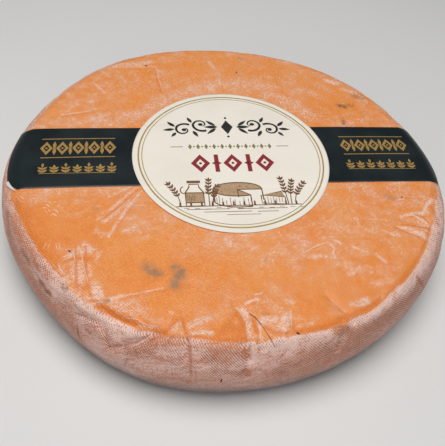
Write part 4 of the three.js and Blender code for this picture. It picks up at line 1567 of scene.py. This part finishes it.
vignette = {
    "wheelRadius": 18.0,
    "wheelDepth": 10.5,
    "wheelFoot": 4.5,                              # above the ground line
    "squash": 0.36,                                # height of the drawn top against its width
    "keptDegrees": 300,                            # the part of the wheel that isn't cut out
    "wedgeTip": (16.5, 8.8),
    # holes in the wheel's top: place from its middle, and radius
    "holes": [(-9, 1.2, 0.9), (-3, -2.6, 0.7), (2, 3.0, 0.8), (-12, -2.0, 0.6), (7, 2.4, 0.6)],
    # ears of wheat: place, lean and height
    "wheat": [(38, 3, 21), (41, 8, 19), (35.5, -2, 23.5), (-42, -7, 20), (-21.5, 1, 23), (-19, 4, 17)],
    "churn": [(-38, 0), (-25, 0), (-25, 13), (-28, 18), (-28, 20.5), (-35, 20.5), (-35, 18), (-38, 13)],
}


def vignetteShapes():
    # a cut wheel between a churn and ears of wheat, on a ruled ground
    y = labelPrint["vignetteGround"]
    radius, deep = vignette["wheelRadius"], vignette["wheelDepth"]
    flatRadius = radius * vignette["squash"]
    top = y + vignette["wheelFoot"] + deep
    rim = arcPath(0, top, radius, flatRadius, 0, vignette["keptDegrees"], 44)
    light = [[tuple(p) for p in rim] + [(0, top)]]
    dark = stroke(rim, 1.0)
    dark += stroke(arcPath(0, top - deep, radius, flatRadius, 180, vignette["keptDegrees"], 24), 1.0)
    dark += stroke([(-radius, top), (-radius, top - deep)], 1.0)
    for corner in (rim[0], rim[-1]):
        dark += stroke([(0, top), tuple(corner)], 0.9)
        dark += stroke([tuple(corner), (corner[0], corner[1] - deep)], 0.9)
    dark += stroke([(0, top), (0, top - deep * 0.72)], 0.8)
    for i in range(11):
        turn = math.radians(186 + i * 10.6)
        x, edge = radius * math.cos(turn), top + flatRadius * math.sin(turn)
        dark.append(bar(x - 0.22, edge - deep + 1.2, x + 0.22, edge - 1.6 - (i % 3) * 1.6))
    for x, up, hole in vignette["holes"]:
        dark.append(disc(x, top + up, hole, 0.6, 12))
    # the wedge that was cut out lies in front on the right
    tipX, tipY = vignette["wedgeTip"][0], y + vignette["wedgeTip"][1]
    wedge = [(tipX, tipY), (tipX + 15.5, tipY + 3.6), (tipX + 17.5, tipY - 1.8)]
    light.append(wedge)
    dark += stroke(wedge, 0.9, closed=True)
    dark += stroke([wedge[0], (tipX, tipY - 7.4), (tipX + 17.5, tipY - 9.0), wedge[2]], 0.9)
    for i in range(7):
        dark.append(bar(tipX + 2.2 + i * 2.1, tipY - 7.2, tipX + 2.6 + i * 2.1, tipY - 2.6 + (i % 2) * 0.9))
    # churn on the left
    dark += stroke([(x, y + up) for x, up in vignette["churn"]], 1.0, closed=True)
    dark += [bar(-36.4, y + 21.6, -26.6, y + 24), bar(-37.5, y + 12, -25.5, y + 13)]
    dark += [bar(-37.5, y + 2.6, -25.5, y + 3.6)]
    dark += [bar(-36.8 + 1.25 * i, y + 4.6, -36.4 + 1.25 * i, y + 11 - (i % 3)) for i in range(5)]
    dark += stroke(arcPath(-24.2, y + 15.2, 2.6, 3.2, 80, -100, 10), 0.8)
    dark += stroke(arcPath(-38.8, y + 15.2, 2.6, 3.2, 100, 280, 10), 0.8)
    for x, lean, height in vignette["wheat"]:
        dark += wheatShapes(x, y, lean, height)
    dark += [bar(-45, y - 0.8, 45, y), bar(-38, y - 3.6, -8, y - 3.1), bar(-2, y - 3.8, 34, y - 3.3)]
    dark += [bar(-26, y - 6.2, 8, y - 5.7), bar(12, y - 6.6, 27, y - 6.1), bar(-10, y - 9.0, 14, y - 8.6)]
    light.append([(-37.5, y + 3.6), (-25.5, y + 3.6), (-25.5, y + 12), (-37.5, y + 12)])
    for i in range(12):                            # tufts of grass and hatches below them
        x = -43 + 7.6 * i
        dark += [leaf(x, y - 0.4, 68, 4.2, 1.0, 7), leaf(x + 0.8, y - 0.4, 92, 5.2, 1.0, 7)]
        dark += [leaf(x + 1.6, y - 0.4, 116, 3.8, 1.0, 7)]
        dark.append(bar(x + 3.2, y - 2.3 - i % 3 * 0.5, x + 6.8, y - 1.9 - i % 3 * 0.5))
    return dark, light


bandPrint = {
    "leftMiddle": -112.5,
    "rightMiddle": 118.0,
    "width": 54.0,
    "top": 19.5,
    "bottom": -1.2,
    "sprigGround": -17.4,
}


def bandShapes():
    # a lozenge chain between rules over a row of leafy sprigs, about its own middle
    half = bandPrint["width"] / 2
    middle = (bandPrint["top"] + bandPrint["bottom"]) / 2
    shapes = [bar(-half, bandPrint["top"] - 0.8, half, bandPrint["top"])]
    shapes += [bar(-half, bandPrint["bottom"], half, bandPrint["bottom"] + 0.8)]
    for i in range(-2, 3):
        x = 11.6 * i
        outer, inner = lozenge(x, middle, 9.2, 14), lozenge(x, middle, 4.4, 7)
        shapes += [[outer[k], outer[(k + 1) % 4], inner[(k + 1) % 4], inner[k]] for k in range(4)]
        shapes.append(disc(x, middle, 0.9, 1.0, 12))
    for i in range(-2, 2):
        x = 11.6 * (i + 0.5)
        shapes += [leaf(x, middle, 90, 7.2, 2.6), leaf(x, middle, -90, 7.2, 2.6)]
        shapes.append(disc(x, middle, 1.0, 1.0, 12))
    ground = bandPrint["sprigGround"]
    shapes.append(bar(-half, ground, half, ground + 0.5))
    for i in range(-3, 4):
        x, tall = 8.2 * i, 8.6 + 1.6 * (i % 2)
        shapes.append(bar(x - 0.3, ground, x + 0.3, ground + tall - 2))
        for j in range(2):
            y = ground + 1.4 + 2.8 * j
            shapes += [leaf(x, y, 38, 4.4, 1.9), leaf(x, y, 142, 4.4, 1.9)]
        shapes.append(leaf(x, ground + tall - 3.4, 90, 4.0, 2.0))
    return shapes


rings = ringShapes(*labelPrint["outerRing"]) + ringShapes(*labelPrint["innerRing"])
inkPiece("label_rings", "ringGold", rings, onLabel)
inkPiece("label_scroll", "charcoal", scrollShapes(), onLabel)
inkPiece("label_rule", "olive", ruleShapes(), onLabel)
inkPiece("label_lozenges", "crimson", crimsonShapes(), onLabel)
vignetteDark, vignetteLight = vignetteShapes()
inkPiece("label_vignette_tint", "sepiaLight", vignetteLight, onLabel)
inkPiece("label_vignette", "sepia", vignetteDark, overTint)
for side, middleX in (("left", bandPrint["leftMiddle"]), ("right", bandPrint["rightMiddle"])):
    inkPiece("band_print_" + side, "gold", shifted(bandShapes(), middleX, 0), onBand)
print("print laid on the papers")


# Thin ridges of powder left by threads of the cloth: a path in pixels and its half width in millimetres

threadRidges = [
    # crossed strokes left of the middle
    ([(42.8, 207.3), (45.8, 207.6)], 0.55),
    ([(45.6, 203.6), (49.8, 206.2)], 0.6),
    ([(47.6, 200.8), (50.6, 202.6)], 0.4),
    ([(47.8, 209.2), (50.2, 211.2)], 0.42),
    ([(53.8, 208.4), (58.4, 212)], 0.7),
    ([(51.6, 213.2), (54, 213.6), (56.6, 215.6)], 0.65),
    ([(50.2, 215.4), (52.2, 215.2)], 0.34),
    ([(53.6, 202.2), (55.8, 200.8)], 0.34),
    ([(57.6, 204), (60.2, 207)], 0.42),
    ([(60.8, 207.6), (63.2, 207.2)], 0.3),
    ([(44.8, 209.6), (48, 213)], 0.26),
    ([(17, 197.5), (22, 202)], 0.36),
    ([(19.5, 195.5), (24, 199.5)], 0.3),
    # strokes over the grid of creases
    ([(46.5, 243), (42.5, 249.5)], 0.3),
    ([(50, 243), (46.5, 250.5)], 0.26),
    ([(55.5, 242), (57.5, 250)], 0.26),
    ([(58.5, 241.5), (60, 249.5)], 0.28),
    ([(60.5, 257.5), (72, 253)], 0.34),
    ([(61, 260.5), (74, 256)], 0.3),
    ([(72.5, 249), (74.5, 256.5), (75, 262)], 0.34),
    ([(79, 246), (82, 256.5), (83.5, 266)], 0.34),
    ([(74, 265), (73.5, 276), (73, 284)], 0.34),
    ([(84.5, 266), (86.5, 276), (88.5, 285)], 0.36),
    ([(92, 257), (99, 251.5)], 0.28),
    ([(57.5, 262), (60, 269), (64, 274.5)], 0.32),
    ([(52, 262), (55.5, 268)], 0.26),
    # rays at the label's lower left
    ([(140.5, 191), (133, 200), (126, 209.5), (119.5, 219)], 0.45),
    ([(137.5, 190.5), (128, 200.5), (118, 209), (107, 217.5)], 0.28),
    ([(136.5, 186.5), (123, 198.5), (110.5, 209)], 0.32),
    ([(131, 186.5), (120, 191.5), (112.5, 196)], 0.28),
    ([(117.5, 221.5), (114, 229), (110, 235)], 0.36),
    ([(104, 216), (99, 217.5), (96, 220.5)], 0.32),
    ([(109, 219), (101.5, 221.5)], 0.34),
    # pressed wedges at the right edge
    ([(403, 215.6), (413, 213), (421, 211)], 0.36),
    ([(416.5, 215.6), (424, 218.6), (431, 225)], 0.6),
    ([(433, 224), (435.2, 227.2)], 0.36),
    ([(397, 225.2), (404, 227), (411, 230.6), (420, 235)], 0.38),
    ([(408, 225.8), (418, 227.6), (427, 229.6)], 0.36),
    ([(426.6, 205), (424.6, 209)], 0.6),
    ([(430, 199), (427.6, 204)], 0.42),
    ([(426.6, 196.8), (426.6, 199.2), (422.4, 200.2)], 0.42),
    ([(396, 200.4), (401, 199), (406, 199.2)], 0.34),
    # short ridges on the right and in front
    ([(306.5, 250.5), (317, 245), (327, 242)], 0.34),
    ([(330, 243), (334.5, 248), (333, 253.5)], 0.32),
    ([(313, 250.5), (324, 246.5)], 0.24),
    ([(355, 219), (359.5, 224), (357, 228.5)], 0.26),
    ([(386, 230.5), (393, 236), (398.5, 235)], 0.28),
    ([(362.5, 297.5), (369.5, 303)], 0.36),
    ([(356, 306), (368.5, 303.5)], 0.34),
    ([(245.5, 303), (251.5, 300.4), (258.5, 298.8)], 0.45),
    ([(237, 306.5), (242.5, 312.5), (246.5, 321), (248.5, 332)], 0.36),
    ([(257.5, 320.5), (260, 329), (261, 338.5)], 0.36),
    ([(263, 318.5), (270, 320.5), (276, 319)], 0.32),
    ([(281, 322.5), (285.5, 318), (288, 324)], 0.34),
    ([(290.8, 311), (291.5, 320), (292.5, 330)], 0.34),
    ([(84.5, 307.5), (92, 303.5), (102, 300.5)], 0.5),
    ([(137.5, 321.5), (147, 324.5), (158, 326.5)], 0.34),
    ([(126, 317), (137, 319.5), (146, 323)], 0.3),
    ([(189, 326.5), (200, 321.5), (210.5, 316.5)], 0.34),
    ([(192, 331), (203, 330.5), (212, 332.5)], 0.32),
    ([(95, 83.5), (100, 87.5), (105, 93)], 0.38),
    ([(61, 114), (75, 112.2), (89, 110.3)], 0.36),
    ([(120, 66.5), (137, 66), (153, 65.5)], 0.36),
    ([(155.5, 67), (158.5, 77), (162.5, 90)], 0.3),
    ([(128, 57.5), (137, 55.5), (147, 54)], 0.4),
]

ridgeLook = {
    "step": 0.9,                                   # millimetres between the sections of a ridge
    "height": 0.13,
    "sunk": 0.05,
    "waver": 0.30,                                 # how far a ridge strays sideways
    "colour": (0.93, 0.70, 0.60),
    "shade": (0.88, 0.50, 0.33),
}


# A hair and dark specks lying on the rind

looseBits = {
    "hairPath": [(249.6, 313), (255, 316), (261, 324), (267, 333), (272, 341), (275, 347)],
    "hairRadius": 0.2,
    "hairLift": 0.35,
    "hairColour": (0.13, 0.09, 0.07),
    "hairPoints": 36,
    "speckHalfHeight": 0.3,
    "speckColour": (0.05, 0.022, 0.012),
    # middle in the photograph, long and short half lengths in millimetres, and the long side's direction
    "specks": [
        {"at": (69.3, 250.8), "size": (1.2, 0.6), "along": (1, -1, 0)},
        {"at": (298.5, 333.5), "size": (1.4, 0.6), "along": (1, -0.8, 0)},
        {"at": (221.3, 381.2), "size": (2.3, 0.6), "along": (0.1, 0, 1)},
        {"at": (402, 196.6), "size": (0.8, 0.5), "along": (1, 0, 0)},
        {"at": (146, 65.7), "size": (1.5, 0.7), "along": (1, 0, 0)},
        {"at": (236.5, 72), "size": (1.1, 0.6), "along": (0.4, 1, 0)},
    ],
}


def surfaceAtPixels(pixels):
    # the nearest point of the finished relief and its outward normal
    picks = skinAtPixels(pixels)
    nearest = [int(np.argmin(((skinPoints - pick) ** 2).sum(1))) for pick in picks]
    sunk = np.array([((skinPoints[i] - surfacePoints[i]) @ skinNormals[i]) for i in nearest])
    normals = skinNormals[nearest]
    return picks - normals * sunk[:, None], normals


def bitMaterial(name, colour):
    s = Shader(name)
    shade = s.noise(1200.0, 2.0, 0.5)
    darker = tuple(channel * 0.6 for channel in colour)
    return s.finish(s.mix(shade, darker, colour), Roughness=0.7)


def ridgeMaterial():
    s = Shader("powderRidge")
    grain = s.noise(850.0, 3.0, 0.6)
    colour = s.mix(s.mapRange(grain, 0.40, 0.60), ridgeLook["shade"], ridgeLook["colour"])
    return s.finish(colour, normal=s.bump(grain, 0.4, 0.2 * mm), Roughness=0.85)


def addThreadRidges():
    # each ridge is a low roof along its path, thin at both ends
    vertices, faces = [], []
    for pixels, halfWidth in threadRidges:
        corners, cornerNormals = surfaceAtPixels(pixels)
        run = np.concatenate([[0], np.cumsum(np.linalg.norm(np.diff(corners, axis=0), axis=1))])
        stops = np.linspace(0, run[-1], max(4, round(run[-1] / ridgeLook["step"])))
        path = np.stack([np.interp(stops, run, corners[:, i]) for i in range(3)], 1)
        normals = np.stack([np.interp(stops, run, cornerNormals[:, i]) for i in range(3)], 1)
        nearest = [int(np.argmin(((surfacePoints - point) ** 2).sum(1))) for point in path]
        path = path + normals * ((surfacePoints[nearest] - path) * normals).sum(1)[:, None]
        along = np.gradient(path, axis=0)
        across = np.cross(normals, along)
        across /= np.linalg.norm(across, axis=1)[:, None]
        stray = lumpField(path, 2.6, 21) * ridgeLook["waver"]
        taper = np.sin(math.pi * np.clip(stops / run[-1], 0.04, 0.96)) ** 0.5
        half = halfWidth * taper * (1 + 0.8 * lumpField(path, 1.3, 22))
        middle = path + across * stray[:, None]
        low = -normals * ridgeLook["sunk"]
        top = normals * (ridgeLook["height"] * taper)[:, None]
        first = len(vertices)
        for i in range(len(path)):
            sideways = across[i] * half[i]
            vertices += [middle[i] - sideways + low[i], middle[i] + top[i], middle[i] + sideways + low[i]]
        for i in range(len(path) - 1):
            a, b = first + 3 * i, first + 3 * i + 3
            faces += [(a + k, a + (k + 1) % 3, b + (k + 1) % 3, b + k) for k in range(3)]
        last = first + 3 * (len(path) - 1)
        faces += [(first + 2, first + 1, first), (last, last + 1, last + 2)]
    ridges = meshPiece("powder_ridges", vertices, faces, ridgeMaterial())
    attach(ridges, "root")


def addHair():
    points, normals = surfaceAtPixels(looseBits["hairPath"])
    points = points + normals * looseBits["hairLift"]
    fineShare = np.linspace(0, len(points) - 1, looseBits["hairPoints"])
    path = np.stack([np.interp(fineShare, range(len(points)), points[:, i]) for i in range(3)], 1)
    for turn in range(3):                          # eases the corners of the path
        path[1:-1] = (path[:-2] + 2 * path[1:-1] + path[2:]) / 4
    vertices, faces, sides = [], [], 6
    for i, point in enumerate(path):
        along = path[min(i + 1, len(path) - 1)] - path[max(i - 1, 0)]
        along /= np.linalg.norm(along)
        first = np.cross(along, (0, 0, 1.0))
        first /= np.linalg.norm(first)
        second = np.cross(along, first)
        for k in range(sides):
            turn = 2 * math.pi * k / sides
            outward = math.cos(turn) * first + math.sin(turn) * second
            vertices.append(point + looseBits["hairRadius"] * outward)
    for i in range(len(path) - 1):
        for k in range(sides):
            n = (k + 1) % sides
            faces.append((i * sides + k, i * sides + n, (i + 1) * sides + n, (i + 1) * sides + k))
    faces += [tuple(range(sides))[::-1], tuple((len(path) - 1) * sides + k for k in range(sides))]
    hair = meshPiece("hair", vertices, faces, bitMaterial("hairGrey", looseBits["hairColour"]))
    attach(hair, "root")


def addSpecks():
    build = bmesh.new()
    centres, normals = surfaceAtPixels([speck["at"] for speck in looseBits["specks"]])
    for speck, centre, normal in zip(looseBits["specks"], centres, normals):
        up = Vector(normal)
        across = up.cross(Vector(speck["along"])).normalized()
        axes = Matrix((across.cross(up), across, up)).transposed().to_4x4()
        halfSizes = (*speck["size"], looseBits["speckHalfHeight"])
        scale = Matrix.Diagonal((*[size * mm for size in halfSizes], 1))
        place = Matrix.Translation(Vector(centre) * mm)
        bmesh.ops.create_icosphere(build, subdivisions=2, radius=1, matrix=place @ axes @ scale)
    specks = builtPiece("specks", build, bitMaterial("speckBrown", looseBits["speckColour"]))
    specks.data.shade_smooth()
    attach(specks, "root")


addThreadRidges()
addHair()
addSpecks()
print("ridges, hair and specks added")


# Camera, light and floor

surroundings = {
    "floorHalf": 6000.0,                           # half the floor's width in millimetres
    "floorColours": ((0.72, 0.71, 0.69), (0.76, 0.75, 0.73)),
    "skyColour": (0.93, 0.96, 1.0, 1),
    "skyStrength": 0.13,
    # places and sizes of the lamps in metres
    "lamps": [
        {"name": "overhead", "place": (-0.08, -0.1, 1.25), "aim": (0.0, 0.0, 0.0),
         "size": 0.9, "watts": 12.9},
        {"name": "frontFill", "place": (-0.35, -1.2, 0.7), "aim": (0.0, -0.05, 0.03),
         "size": 0.9, "watts": 2.8},
    ],
}


def addCamera():
    camera = bpy.data.cameras.new("view")
    camera.sensor_width = photo["sensor"]
    camera.lens = photo["focalPixels"] * photo["sensor"] / max(photo["width"], photo["height"])
    camera.clip_start, camera.clip_end = 0.01, 20
    holder = linked("view", camera)
    axes = Matrix((photo["right"], photo["up"], [-v for v in photo["forward"]])).transposed()
    holder.matrix_world = Matrix.Translation(Vector(photo["cameraPlace"]) * mm) @ axes.to_4x4()
    scene.camera = holder


def addFloor():
    s = Shader("floorPaper")
    colour = s.mix(s.noise(3.0, 2.0, 0.5), *surroundings["floorColours"])
    material = s.finish(colour, Roughness=0.8)
    half = surroundings["floorHalf"]
    corners = [(-half, -half, 0), (half, -half, 0), (half, half, 0), (-half, half, 0)]
    floor = meshPiece("floor", np.array(corners), [(0, 1, 2, 3)], material, False)


def addLights():
    for item in surroundings["lamps"]:
        lamp = bpy.data.lights.new(item["name"], "AREA")
        lamp.shape, lamp.size, lamp.energy = "DISK", item["size"], item["watts"]
        holder = linked(item["name"], lamp)
        aim = Vector(item["aim"]) - Vector(item["place"])
        turned = aim.to_track_quat("-Z", "Y").to_matrix().to_4x4()
        holder.matrix_world = Matrix.Translation(item["place"]) @ turned
    world = bpy.data.worlds.new("softSky")
    world.use_nodes = True
    sky = world.node_tree.nodes["Background"]
    sky.inputs["Color"].default_value = surroundings["skyColour"]
    sky.inputs["Strength"].default_value = surroundings["skyStrength"]
    scene.world = world


addCamera()
addFloor()
addLights()
scene.view_settings.view_transform = "Standard"
scene.view_settings.look = "None"
print("camera, floor and lights set")
